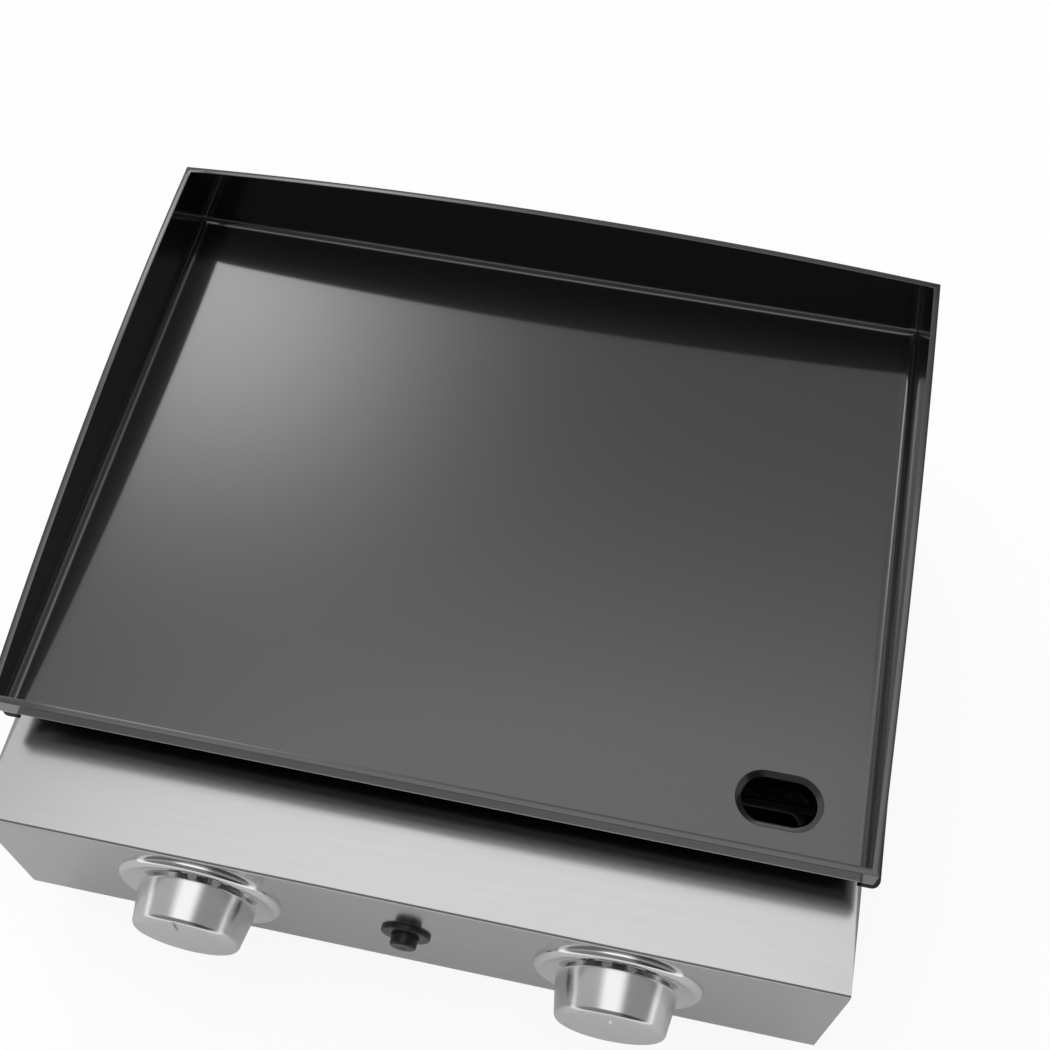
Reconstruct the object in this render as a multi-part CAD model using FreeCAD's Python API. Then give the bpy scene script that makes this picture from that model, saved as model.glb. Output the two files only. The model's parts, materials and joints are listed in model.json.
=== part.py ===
import FreeCAD
import Part
import math
import os

# A table-top gas griddle with two burners. All sizes are millimetres.
# X runs to the right, Y to the back and Z up from the table. The parts are laid out with Y = 0 on the
# front face of the plate's lip. At the end they move along Y so that the origin lies under the middle.

# Cooking plate, folded from thick sheet, with welded corners
plate_inner_width = 432.0
plate_inner_depth = 325.8
plate_sheet = 3.4
plate_bend = 4.2
back_wall_height = 40.9
back_wall_arch = 9.6
front_lip_height = 16.8
side_wall_bulge = 7.8

# Drain hole pressed into the plate's floor, and the spout welded under it
drain_length = 37.0
drain_width = 22.4
drain_rim = 3.2
drain_side_gap = 25.7
drain_front_gap = 22.0
spout_sheet = 1.2
spout_depth = 10.0
spout_step = 0.8
spout_taper = 1.5
spout_flange = 3.5

# Stiffening channels and locating studs under the plate
stiffener_end_inset = 29.4
stiffener_width = 30.0
stiffener_height = 8.0
stiffener_sheet = 1.5
stiffener_inset = 97.0
stud_radius = 6.0
stud_pin_radius = 3.0
stud_pin_length = 8.0
stud_pin_play = 0.3
stud_inset = 13.0
stud_setback = 32.6

# Casing
casing_side_inset = 1.2
casing_front = 48.4
casing_back_inset = 7.0
ground_clearance = 24.0
deck_drop = 20.7

# Control panel: deck and front bent from one stainless sheet
panel_height = 104.3
panel_lean = 2.0
panel_sheet = 1.0
panel_bend = 1.0
panel_return = 20.0
deck_reach = 14.0
deck_lip = 9.0

# Side and back panels
side_inset = 1.0
side_sheet = 1.2
side_bend = 0.8
side_flange = 9.8
side_flange_front = 5.9
side_flange_corner = 4.5
side_top_return = 12.0
side_bottom_return = 36.0
side_back_return = 14.0
back_top_return = 12.0
sheet_gap = 0.3
cut_past = 5.0

# Vent slots in the back panel and the bottom tray
back_slot_length = 34.0
back_slot_width = 5.0
back_slot_pitch = 26.0
back_slot_count = 11
back_slot_drop = 42.0
tray_sheet = 1.0
tray_wall = 9.0
tray_bend = 1.0
tray_slot_length = 60.0
tray_slot_width = 6.0
tray_slot_pitch = 34.0
tray_slot_count = 6

# Heat baffle between the burners and the controls
baffle_behind_hanger = 2.5
baffle_sheet = 1.0
baffle_bend = 1.0
baffle_flange = 10.0
baffle_top_gap = 4.3

# Grease cup on its hanger
cup_burner_gap = 1.5
cup_width = 39.0
cup_depth = 38.0
cup_sheet = 1.0
cup_rim = 3.0
cup_corner = 7.0
cup_draft = 2.5
cup_floor_radius = 4.0
cup_drop = 43.0
cup_past_hole = 0.7
cup_behind_hole = 2.1
cup_window_gap = 2.0
cup_tab_width = 24.0
cup_tab_reach = 4.0
cup_tab_drop = 14.0
hanger_sheet = 1.2
hanger_bend = 0.6
hanger_ledge = 2.0
hanger_side_gap = 1.0
hanger_seat = 0.2
hanger_guide = 5.0
hanger_tab = 12.0
hanger_screw_setback = 7.2

# Stud rests inside the side panels
rest_length = 26.0
rest_past_stud = 10.0
rest_drop = 15.0
rest_sheet = 1.5
rest_bend = 1.0

# Knobs, bezels and valves
knob_side_inset = 108.2
knob_drop = 48.3
knob_radius = 31.4
knob_front_radius = 28.4
knob_length = 22.0
knob_edge = 3.5
knob_dome = 1.2
knob_gap = 4.2
knob_wall = 2.4
knob_hub_radius = 9.0
knob_hub_setback = 1.0
knob_mark_width = 1.8
knob_mark_depth = 0.8
knob_mark_length = 12.0
bezel_radius = 43.5
bezel_crest = 3.6
bezel_roll = 3.4
bezel_roll_bow = 1.1
bezel_inner_bow = 0.5
bezel_flat_radius = 27.0
bezel_sag = 0.5
bezel_sheet = 0.8
stem_radius = 4.0
stem_flat = 3.0
stem_fit = 0.05
stem_depth = 18.0
stem_reach = 15.4
washer_radius = 6.2
washer_thickness = 1.2
washer_depth = 1.2
washer_fit = 0.06
valve_radius = 11.0
valve_length = 26.0
valve_nose_radius = 6.6
valve_nose_depth = 8.0
valve_stem_bore_depth = 22.0
valve_flange_thickness = 2.0
valve_flange_height = 16.0
valve_screw_spacing = 32.0
valve_screw_depth = 8.0
valve_inlet_depth = 17.0
valve_inlet_radius = 5.0
valve_outlet_radius = 4.5
valve_outlet_length = 11.0
jet_across = 11.0
jet_hex_length = 10.0
jet_tip_radius = 3.2
jet_tip_length = 7.0
jet_hole_radius = 0.6
jet_thread = 5.0

# Gas pipes
manifold_radius = 8.0
manifold_wall = 1.5
manifold_below_valve = 26.0
manifold_boss_radius = 8.0
manifold_boss_height = 13.0
manifold_past_valve = 16.0
manifold_bracket_spacing = 60.0
plug_across = 14.0
plug_head = 6.0
plug_thread = 8.0
supply_radius = 4.75
supply_wall = 0.9
supply_side_inset = 29.0
supply_bend = 22.0
supply_straight = 8.0
supply_hole_play = 0.3
nut_across = 17.0
nut_length = 14.0
inlet_thread_radius = 7.94
inlet_thread_length = 15.0
inlet_bulkhead_radius = 9.0
inlet_bulkhead_spare = 1.0
inlet_bore_radius = 4.0
inlet_hex_across = 21.0
inlet_hex_length = 7.0
inlet_stub_length = 6.0
inlet_stub_wall = 2.0
inlet_seat_width = 1.0
inlet_cone = 2.5
locknut_across = 24.0
locknut_length = 6.0
pipe_fit = 0.05

# Burners: a round tube bent into a closed loop, fed by a stem with a wide mouth
burner_radius = 11.0
burner_wall = 1.0
burner_loop_width = 104.0
burner_behind_baffle = 23.0
burner_back_inset = 35.6
burner_corner = 24.0
burner_mouth_radius = 13.0
burner_jet_entry = 6.0
burner_mouth_length = 26.0
burner_cone_length = 14.0
burner_slit_width = 1.2
burner_slit_pitch = 14.0
burner_slit_depth = 5.0
burner_front_slit_offset = 20.0
burner_front_slit_pitch = 8.0
burner_front_slit_count = 2
shutter_wall = 1.0
shutter_length = 12.0
shutter_fit = 0.3
shutter_hole_radius = 8.0
shutter_vent_radius = 1.6
shutter_vents = 6
saddle_width = 28.0
saddle_foot = 16.0
saddle_screw_setback = 9.6
saddle_sheet = 1.5
saddle_bend = 1.0
crossover_width = 14.0
crossover_skirt = 6.0
crossover_sheet = 0.8
crossover_overlap = 4.0
crossover_seat = 0.2

# Spark igniter
igniter_flange_radius = 13.0
igniter_flange_thickness = 2.0
igniter_thread_radius = 9.0
igniter_thread_length = 14.0
igniter_body_radius = 11.0
igniter_body_length = 36.0
igniter_nut_across = 24.0
igniter_nut_length = 4.0
igniter_button_radius = 7.0
igniter_button_height = 8.0
igniter_button_edge = 1.5
igniter_button_depth = 12.0
igniter_button_play = 0.3
igniter_bore_depth = 20.0
igniter_terminal_spacing = 10.0
igniter_terminal_radius = 1.6
igniter_terminal_length = 6.0
lead_radius = 1.6
lead_bend = 8.0
lead_slack = 18.0
electrode_offset = 30.0
electrode_rise = 20.0
insulator_radius = 3.5
insulator_collar_radius = 5.5
insulator_collar_length = 4.0
insulator_lead = 10.0
insulator_fit = 0.1
electrode_radius = 1.0
electrode_reach = 8.0
electrode_past_bar = 1.0
electrode_bend = 2.5
spark_gap = 3.2

# Feet and fasteners
foot_top_radius = 15.0
foot_bottom_radius = 12.5
foot_recess_radius = 6.5
foot_recess_depth = 14.0
foot_side_inset = 18.2
foot_front_inset = 37.4
foot_back_inset = 32.0
foot_edge = 1.5
foot_screw_radius = 2.5
foot_screw_head_radius = 4.8
foot_screw_head_height = 3.0
foot_screw_spare = 1.5
foot_nut_across = 8.0
foot_nut_height = 4.0
screw_radius = 2.0
screw_head_radius = 3.6
screw_head_height = 2.2
screw_grip = 5.0
screw_hole_play = 0.15
panel_screw_spacing = 100.0
panel_screw_count = 4
panel_screw_setback = 12.0
baffle_screw_spacing = 150.0
baffle_screw_setback = 7.0
back_screw_count = 3
back_screw_margin = 16.0
tray_screw_front_inset = 38.0
tray_screw_back_inset = 60.0

# Heights and faces that follow from the sizes above
deck_z = ground_clearance + panel_height
cook_z = deck_z + deck_drop
plate_under_z = cook_z - plate_sheet
plate_outer_width = plate_inner_width + 2 * plate_sheet
plate_outer_depth = plate_inner_depth + 2 * plate_sheet
casing_half_width = plate_outer_width / 2 - casing_side_inset
side_x = casing_half_width - side_inset
inner_x = side_x - side_sheet
back_y = plate_outer_depth - casing_back_inset
lean = math.radians(panel_lean)
knob_z = deck_z - knob_drop
knob_x = casing_half_width - knob_side_inset
tray_under_z = ground_clearance + side_sheet
tray_top_z = tray_under_z + tray_sheet
tray_half_width = inner_x - sheet_gap
tray_back_y = back_y - 2 * side_sheet - sheet_gap
stud_x = inner_x - stud_inset
foot_x = side_x - foot_side_inset
foot_front_y = foot_front_inset - casing_front
foot_back_y = back_y - foot_back_inset

# The drain hole lies in the plate's right front corner, the cup under it, and the burners behind the cup
drain_x = plate_inner_width / 2 - drain_side_gap - drain_length / 2
drain_y = drain_front_gap + drain_width / 2
shutter_radius = burner_mouth_radius + shutter_fit + shutter_wall
cup_rim_z = cook_z - cup_drop
cup_left_x = knob_x + shutter_radius + cup_burner_gap + hanger_sheet + hanger_side_gap
cup_right_x = drain_x + drain_length / 2 + cup_past_hole
cup_back_y = drain_y + drain_width / 2 + cup_behind_hole
cup_front_y = cup_back_y - cup_width
baffle_y = cup_back_y + hanger_side_gap + hanger_tab + baffle_behind_hanger
burner_front_y = baffle_y + burner_behind_baffle
burner_rear_y = back_y - burner_back_inset
burner_middle_y = (burner_front_y + burner_rear_y) / 2
stem_top = knob_gap + stem_reach
valve_end = panel_sheet + valve_length + valve_outlet_length
jet_end = valve_end - jet_thread + jet_hex_length + jet_tip_length
supply_x = -inner_x + supply_side_inset
manifold_left_x = supply_x + supply_bend + supply_straight + nut_length / 2
manifold_right_x = knob_x + manifold_past_valve
inlet_inner_y = back_y - side_sheet - inlet_hex_length - inlet_stub_length

right = FreeCAD.Vector(1, 0, 0)
back = FreeCAD.Vector(0, 1, 0)
up = FreeCAD.Vector(0, 0, 1)


def point(x, y, z):
    return FreeCAD.Vector(x, y, z)


def block(x0, x1, y0, y1, z0, z1):
    return Part.makeBox(x1 - x0, y1 - y0, z1 - z0, point(x0, y0, z0))


def rod(radius, start, direction, length):
    return Part.makeCylinder(radius, length, start, direction)


def sheet_hole(radius, spot, direction):
    """A drill through the sheet at a spot."""
    return rod(radius, spot - direction * cut_past, direction, 2 * cut_past)


def screw_hole(spot, direction):
    """A drill for a sheet screw's shank."""
    return sheet_hole(screw_radius + screw_hole_play, spot, direction)


def hexagon(across, start, direction, length):
    """A hexagonal bar with the given distance across its flats."""
    corner = across / math.sqrt(3)
    turn = FreeCAD.Rotation(up, direction)
    ring = []
    for side in range(7):
        angle = math.radians(60 * side)
        ring.append(start + turn.multVec(point(corner * math.cos(angle), corner * math.sin(angle), 0)))
    return Part.Face(Part.makePolygon(ring)).extrude(direction * length)


def stadium(length, width, x, y, z, height):
    """An upright bar with straight sides along X and round ends."""
    outline = stadium_outline(length, width, x, y, z)
    return Part.Face(outline).extrude(up * height)


def stadium_outline(length, width, x, y, z):
    half = (length - width) / 2
    side = back * (width / 2)
    cap = right * (width / 2)
    first, second = point(x - half, y, z), point(x + half, y, z)
    return Part.Wire([
        Part.makeLine(first + side, second + side),
        Part.Arc(second + side, second + cap, second - side).toShape(),
        Part.makeLine(second - side, first - side),
        Part.Arc(first - side, first - cap, first + side).toShape(),
    ])


def rounded_rectangle(x0, x1, y0, y1, z, radius):
    corners = [point(x0, y0, z), point(x1, y0, z), point(x1, y1, z), point(x0, y1, z)]
    start = (corners[0] + corners[1]) * 0.5
    line = [start] + corners[1:] + corners[:1] + [start]
    return Part.Wire(rounded_path(line, [radius] * 4))


def rounded_path(line, radii):
    """Straight runs along a line of points, joined at each inner point by an arc of its own radius."""
    edges = []
    start = line[0]
    for before, corner, after, radius in zip(line, line[1:], line[2:], radii):
        into = (corner - before).normalize()
        out = (after - corner).normalize()
        half_turn = into.getAngle(out) / 2
        reach = radius * math.tan(half_turn)
        first = corner - into * reach
        last = corner + out * reach
        inward = (out - into).normalize()
        middle = corner + inward * (radius / math.cos(half_turn) - radius)
        if first.distanceToPoint(start) > 1e-6:
            edges.append(Part.makeLine(start, first))
        edges.append(Part.Arc(first, middle, last).toShape())
        start = last
    if start.distanceToPoint(line[-1]) > 1e-6:
        edges.append(Part.makeLine(start, line[-1]))
    return edges


def folded_sheet(line, across, thickness, bend):
    """A bent sheet: one face follows the line, the other lies to its left, seen against the direction across."""
    axis = FreeCAD.Vector(across).normalize()
    lefts = [axis.cross((b - a).normalize()) for a, b in zip(line, line[1:])]
    other = [line[0] + lefts[0] * thickness]
    near_radii = []
    far_radii = []
    for corner, left, next_left, ahead in zip(line[1:], lefts, lefts[1:], line[2:]):
        other.append(corner + (left + next_left) * (thickness / (1 + left.dot(next_left))))
        turns_left = (ahead - corner).dot(left) > 0
        near_radii.append(bend + thickness if turns_left else bend)
        far_radii.append(bend if turns_left else bend + thickness)
    other.append(line[-1] + lefts[-1] * thickness)
    edges = rounded_path(line, near_radii)
    edges.append(Part.makeLine(line[-1], other[-1]))
    edges += rounded_path(other[::-1], far_radii[::-1])
    edges.append(Part.makeLine(other[0], line[0]))
    return Part.Face(Part.Wire(Part.__sortEdges__(edges))).extrude(across)


def bent_bar(line, bend, radius):
    """A round bar along straight runs joined by tangent arcs."""
    path = Part.Wire(rounded_path(line, [bend] * (len(line) - 2)))
    ring = Part.Wire(Part.makeCircle(radius, line[0], line[1] - line[0]))
    return path.makePipeShell([ring], True, False)


def revolved(profile):
    """A body turned about the Z axis from a closed outline of edges in the XZ plane."""
    return Part.Face(Part.Wire(Part.__sortEdges__(profile))).revolve(point(0, 0, 0), up, 360)


def line_through(*corners):
    """Straight edges through (radius, height) pairs."""
    spots = [point(r, 0, h) for r, h in corners]
    return [Part.makeLine(a, b) for a, b in zip(spots, spots[1:])]


def arc_through(first, middle, last):
    """Arc through three (radius, height) pairs."""
    spots = [point(r, 0, h) for r, h in (first, middle, last)]
    return Part.Arc(*spots).toShape()


def bowed(first, last, bow):
    """Arc between two (radius, height) pairs. Its middle stands off the straight line to the left by bow."""
    run, rise = last[0] - first[0], last[1] - first[1]
    span = math.hypot(run, rise)
    middle = ((first[0] + last[0] - 2 * bow * rise / span) / 2, (first[1] + last[1] + 2 * bow * run / span) / 2)
    return arc_through(first, middle, last)


def dome_arc(radius, low, high):
    """Arc of a dome centred on the axis, from its rim up to its crown."""
    rise = high - low
    ball = (radius ** 2 + rise ** 2) / (2 * rise)
    middle = (radius / 2, high - ball + math.sqrt(ball ** 2 - (radius / 2) ** 2))
    return arc_through((radius, low), middle, (0, high))


def screw(start, direction, grip, radius=screw_radius, head=screw_head_radius, height=screw_head_height):
    """A round-headed screw: the head stands on the start point, the shank runs along the direction."""
    profile = line_through((0, height), (0, -grip), (radius, -grip), (radius, 0), (head, 0), (head, height / 2))
    profile.append(dome_arc(head, height / 2, height))
    body = revolved(profile)
    body.Placement = FreeCAD.Placement(start, FreeCAD.Rotation(up, direction * -1))
    return body


def panel_face_y(z):
    """Y of the leaning front face at a height."""
    return -casing_front - (deck_z - z) * math.tan(lean)


def panel_placement(x):
    """Frame on the front face at knob height: its Z axis points straight out of the panel."""
    return FreeCAD.Placement(point(x, panel_face_y(knob_z), knob_z), FreeCAD.Rotation(right, 90 - panel_lean))


def on_panel(shape, x):
    placed = shape.copy()
    placed.Placement = panel_placement(x).multiply(placed.Placement)
    return placed


def mirrored(shape):
    return shape.mirror(point(0, 0, 0), right)


def fused(shapes):
    return shapes[0].multiFuse(shapes[1:]).removeSplitter()


def griddle_plate():
    half = plate_outer_width / 2
    top = cook_z + back_wall_height + back_wall_arch
    outer = block(-half, half, 0, plate_outer_depth, plate_under_z, top)
    outer = outer.makeFillet(plate_bend + plate_sheet, bottom_edges(outer, plate_under_z))
    inner_half = plate_inner_width / 2
    inner_back = plate_outer_depth - plate_sheet
    inside = block(-inner_half, inner_half, plate_sheet, inner_back, cook_z, top)
    inside = inside.makeFillet(plate_bend, bottom_edges(inside, cook_z))
    pan = outer.cut(inside)

    lip_z = cook_z + front_lip_height
    corner_z = cook_z + back_wall_height
    lip_corner = point(-half, plate_sheet, lip_z)
    back_corner = point(-half, inner_back, corner_z)
    along = back_corner - lip_corner
    bulge = (lip_corner + back_corner) * 0.5 + along.cross(right).normalize() * -side_wall_bulge
    high = top + plate_sheet
    side_cut = Part.Wire([
        Part.makeLine(point(-half, 0, lip_z), lip_corner),
        Part.Arc(lip_corner, bulge, back_corner).toShape(),
        Part.makeLine(back_corner, point(-half, inner_back, high)),
        Part.makeLine(point(-half, inner_back, high), point(-half, 0, high)),
        Part.makeLine(point(-half, 0, high), point(-half, 0, lip_z)),
    ])
    back_cut = Part.Wire([
        Part.Arc(point(-half, inner_back, corner_z), point(0, inner_back, top), point(half, inner_back, corner_z))
        .toShape(),
        Part.makeLine(point(half, inner_back, corner_z), point(half, inner_back, high)),
        Part.makeLine(point(half, inner_back, high), point(-half, inner_back, high)),
        Part.makeLine(point(-half, inner_back, high), point(-half, inner_back, corner_z)),
    ])
    pan = pan.cut(Part.Face(side_cut).extrude(right * plate_outer_width))
    pan = pan.cut(Part.Face(back_cut).extrude(back * plate_sheet))

    hole = stadium(drain_length, drain_width, drain_x, drain_y, plate_under_z, plate_sheet)
    pan = pan.cut(hole)
    rim = [e for e in pan.Edges if on_drain_rim(e)]
    return pan.makeFillet(drain_rim, rim)


def bottom_edges(shape, z):
    return [e for e in shape.Edges if abs(e.BoundBox.ZMin - z) < 1e-6 and abs(e.BoundBox.ZMax - z) < 1e-6]


def on_drain_rim(edge):
    """Edges round the drain hole in the cooking surface."""
    box = edge.BoundBox
    near_x = abs(box.Center.x - drain_x) <= drain_length / 2
    near_y = abs(box.Center.y - drain_y) <= drain_width / 2 + 1e-6
    return near_x and near_y and abs(box.ZMin - cook_z) < 1e-6 and abs(box.ZMax - cook_z) < 1e-6


def drain_spout():
    """A tapered collar with a flange that lies against the plate's underside."""
    inner_length = drain_length + 2 * spout_step
    inner_width = drain_width + 2 * spout_step
    low_z = plate_under_z - spout_depth

    def tapered(growth, top_z, bottom_z):
        narrowing = spout_taper * (plate_under_z - bottom_z) / spout_depth
        upper = stadium_outline(inner_length + 2 * growth, inner_width + 2 * growth, drain_x, drain_y, top_z)
        lower = stadium_outline(
            inner_length + 2 * (growth - narrowing), inner_width + 2 * (growth - narrowing), drain_x, drain_y,
            bottom_z)
        return Part.makeLoft([upper, lower], True, True)

    flange_growth = 2 * (spout_sheet + spout_flange)
    flange = stadium(
        inner_length + flange_growth, inner_width + flange_growth, drain_x, drain_y,
        plate_under_z - spout_sheet, spout_sheet)
    return fused([flange, tapered(spout_sheet, plate_under_z, low_z)]).cut(tapered(0, plate_under_z, low_z))


def plate_stiffeners():
    """Hat-section channels along the plate's underside."""
    half = plate_outer_width / 2 - stiffener_end_inset
    crown = stiffener_width / 2 - stiffener_height / 2
    low_z = plate_under_z - stiffener_height
    channels = []
    for y in (stiffener_inset, plate_outer_depth - stiffener_inset):
        line = [
            point(-half, y - stiffener_width / 2 - stiffener_height, plate_under_z),
            point(-half, y - stiffener_width / 2, plate_under_z),
            point(-half, y - crown, low_z + stiffener_sheet),
            point(-half, y + crown, low_z + stiffener_sheet),
            point(-half, y + stiffener_width / 2, plate_under_z),
            point(-half, y + stiffener_width / 2 + stiffener_height, plate_under_z),
        ]
        channels.append(folded_sheet(line[::-1], right * (2 * half), stiffener_sheet, stiffener_sheet))
    return Part.makeCompound(channels)


def stud_places():
    return [(x, y) for x in (-stud_x, stud_x) for y in (stud_setback, plate_outer_depth - stud_setback)]


def locating_studs():
    """Shouldered studs: the shoulder carries the plate, the pin drops into its rest."""
    studs = []
    for x, y in stud_places():
        shoulder = rod(stud_radius, point(x, y, deck_z), up, plate_under_z - deck_z)
        pin = rod(stud_pin_radius, point(x, y, deck_z - stud_pin_length), up, stud_pin_length)
        studs.append(fused([shoulder, pin]))
    return Part.makeCompound(studs)


def stud_rests():
    rests = []
    for x, y in stud_places():
        side = math.copysign(1, x)
        line = [
            point(side * inner_x, y - rest_length / 2, deck_z - rest_drop),
            point(side * inner_x, y - rest_length / 2, deck_z),
            point(side * (stud_x - rest_past_stud), y - rest_length / 2, deck_z),
        ]
        if side < 0:
            line = line[::-1]
        rest = folded_sheet(line, back * -rest_length, rest_sheet, rest_bend)
        rest.translate(back * rest_length)
        hole = rod(stud_pin_radius + stud_pin_play, point(x, y, deck_z - rest_drop), up, rest_drop)
        rests.append(rest.cut(hole))
    return Part.makeCompound(rests)


def control_panel():
    """Deck, leaning front and bottom return, with the deck's rear edge turned down."""
    half = casing_half_width
    foot_y = panel_face_y(ground_clearance)
    line = [
        point(-half, deck_reach, deck_z - deck_lip),
        point(-half, deck_reach, deck_z),
        point(-half, -casing_front, deck_z),
        point(-half, foot_y, ground_clearance),
        point(-half, foot_y + panel_return, ground_clearance),
    ]
    panel = folded_sheet(line, right * (2 * half), panel_sheet, panel_bend)
    notch_y = side_flange_front - sheet_gap
    return_y = foot_y + panel_bend + panel_sheet
    tools = []
    for side in (-1, 1):
        x0, x1 = sorted((side * tray_half_width, side * (half + cut_past)))
        tools.append(block(x0, x1, notch_y, deck_reach + cut_past, deck_z - deck_lip - cut_past, deck_z + cut_past))
        tools.append(block(
            x0, x1, return_y, foot_y + panel_return + cut_past, ground_clearance - cut_past,
            ground_clearance + panel_sheet + panel_bend))
    for x in (-knob_x, knob_x):
        tools.append(on_panel(sheet_hole(valve_nose_radius, point(0, 0, 0), up), x))
        for offset in (-valve_screw_spacing / 2, valve_screw_spacing / 2):
            tools.append(on_panel(screw_hole(point(offset, 0, 0), up), x))
    tools.append(on_panel(sheet_hole(igniter_thread_radius + screw_hole_play, point(0, 0, 0), up), 0))
    screws = panel_screw_places() + manifold_screw_places()
    tools += [screw_hole(point(x, y, ground_clearance), up) for x, y in screws]
    return panel.cut(tools)


def panel_screw_places():
    y = panel_face_y(ground_clearance) + panel_screw_setback
    middle = (panel_screw_count - 1) / 2
    return [((n - middle) * panel_screw_spacing, y) for n in range(panel_screw_count)]


def side_panel():
    """Left side panel: wall, outward flange under the plate's edge and returns along the other edges."""
    front_y = panel_face_y(ground_clearance)
    wall_top_z = deck_z - panel_sheet
    split_y = side_flange_front - sheet_gap
    return_y = front_y + panel_return + sheet_gap
    wall_back_y = back_y - side_sheet

    front_line = [
        point(-side_x, front_y, ground_clearance),
        point(-side_x, front_y, wall_top_z),
        point(-side_x + side_top_return, front_y, wall_top_z),
    ]
    front_part = folded_sheet(front_line, back * (split_y - front_y), side_sheet, side_bend)
    rear_line = [
        point(-side_x - side_flange, split_y, deck_z),
        point(-inner_x, split_y, deck_z),
        point(-inner_x, split_y, ground_clearance),
    ]
    rear_part = folded_sheet(rear_line, back * (wall_back_y - split_y), side_sheet, side_bend)
    clip = block(
        -side_x - side_flange - cut_past, -side_x, split_y - cut_past, side_flange_front, deck_z - cut_past,
        deck_z + cut_past)
    rear_part = rear_part.cut(clip)
    bottom_return = block(
        -side_x, -side_x + side_bottom_return, return_y, wall_back_y,
        ground_clearance, ground_clearance + side_sheet)
    back_return = block(
        -side_x, -side_x + side_back_return, wall_back_y - side_sheet, wall_back_y,
        ground_clearance, deck_z - side_bend - side_sheet)
    panel = fused([front_part, rear_part, bottom_return, back_return])

    outer_corner = [e for e in panel.Edges if is_upright(e, -side_x - side_flange, side_flange_front)]
    panel = panel.makeFillet(side_flange_corner, outer_corner)

    top_y = panel_face_y(deck_z)
    panel_clear = (panel_sheet + panel_bend) / math.cos(lean)
    low_z = ground_clearance - cut_past
    ahead = Part.Face(Part.makePolygon([
        point(-side_x - cut_past, front_y - cut_past, low_z),
        point(-side_x - cut_past, panel_face_y(low_z) + panel_clear, low_z),
        point(-side_x - cut_past, top_y + panel_clear, deck_z),
        point(-side_x - cut_past, front_y - cut_past, deck_z),
        point(-side_x - cut_past, front_y - cut_past, low_z),
    ])).extrude(right * (side_bottom_return + 2 * cut_past))
    tools = [ahead]
    for y in (foot_front_y, foot_back_y):
        tools.append(sheet_hole(foot_screw_radius + screw_hole_play, point(-foot_x, y, ground_clearance), up))
    tools += [screw_hole(point(-foot_x, y, ground_clearance), up) for y in tray_screw_places()]
    tools += [screw_hole(point(-back_screw_x(), wall_back_y, z), back) for z in back_screw_heights()]
    return panel.cut(tools)


def is_upright(edge, x, y):
    box = edge.BoundBox
    return abs(box.XMin - x) < 1e-6 and abs(box.XMax - x) < 1e-6 and abs(box.YMin - y) < 1e-6 \
        and abs(box.YMax - y) < 1e-6


def tray_screw_places():
    return (baffle_y + tray_screw_front_inset, back_y - tray_screw_back_inset)


def back_screw_x():
    return side_x - side_back_return / 2 - side_sheet / 2


def back_screw_spots():
    return [point(x, back_y, z) for x in (-back_screw_x(), back_screw_x()) for z in back_screw_heights()]


def back_screw_heights():
    low = ground_clearance + back_screw_margin
    high = deck_z - back_screw_margin
    step = (high - low) / (back_screw_count - 1)
    return [low + n * step for n in range(back_screw_count)]


def side_panel_right():
    """The right side has a window for the grease cup, and holes for its hanger's screws."""
    panel = mirrored(side_panel())
    window = block(
        inner_x - cut_past, side_x + cut_past, cup_front_y - cup_window_gap, cup_back_y + cup_window_gap,
        cup_rim_z - cup_depth - cup_window_gap, cup_rim_z + cup_window_gap)
    corners = [e for e in window.Edges if e.BoundBox.XLength > side_sheet]
    corners = [e for e in corners if e.BoundBox.YLength < 1e-6 and e.BoundBox.ZLength < 1e-6]
    tools = [window.makeFillet(cup_window_gap, corners)]
    tools += [screw_hole(point(inner_x, y, hanger_screw_z()), right) for y in hanger_screw_places()]
    return panel.cut(tools)


def back_panel():
    """Flat sheet over the side panels' returns, with a top return, a row of vents and the inlet hole."""
    line = [
        point(-side_x, back_y, ground_clearance),
        point(-side_x, back_y, deck_z),
        point(-side_x, back_y - side_sheet - back_top_return, deck_z),
    ]
    panel = folded_sheet(line, right * (2 * side_x), side_sheet, side_bend)
    tools = []
    for side in (-1, 1):
        x0, x1 = sorted((side * (stud_x - rest_past_stud - sheet_gap), side * (side_x + cut_past)))
        tools.append(block(
            x0, x1, back_y - side_sheet - back_top_return - cut_past, back_y - side_sheet, ground_clearance,
            deck_z + cut_past))
    slot_z = deck_z - back_slot_drop
    for n in range(back_slot_count):
        x = (n - (back_slot_count - 1) / 2) * back_slot_pitch
        slot = stadium(back_slot_length, back_slot_width, 0, 0, -cut_past, 2 * cut_past)
        slot.Placement = FreeCAD.Placement(point(x, back_y, slot_z), FreeCAD.Rotation(right, back * -1, up)
                                           .multiply(FreeCAD.Rotation(up, 90)))
        tools.append(slot)
    inlet = point(supply_x, back_y, manifold_centre().z)
    tools.append(sheet_hole(inlet_bulkhead_radius + screw_hole_play, inlet, back))
    tools += [screw_hole(spot, back) for spot in back_screw_spots()]
    return panel.cut(tools)


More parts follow.
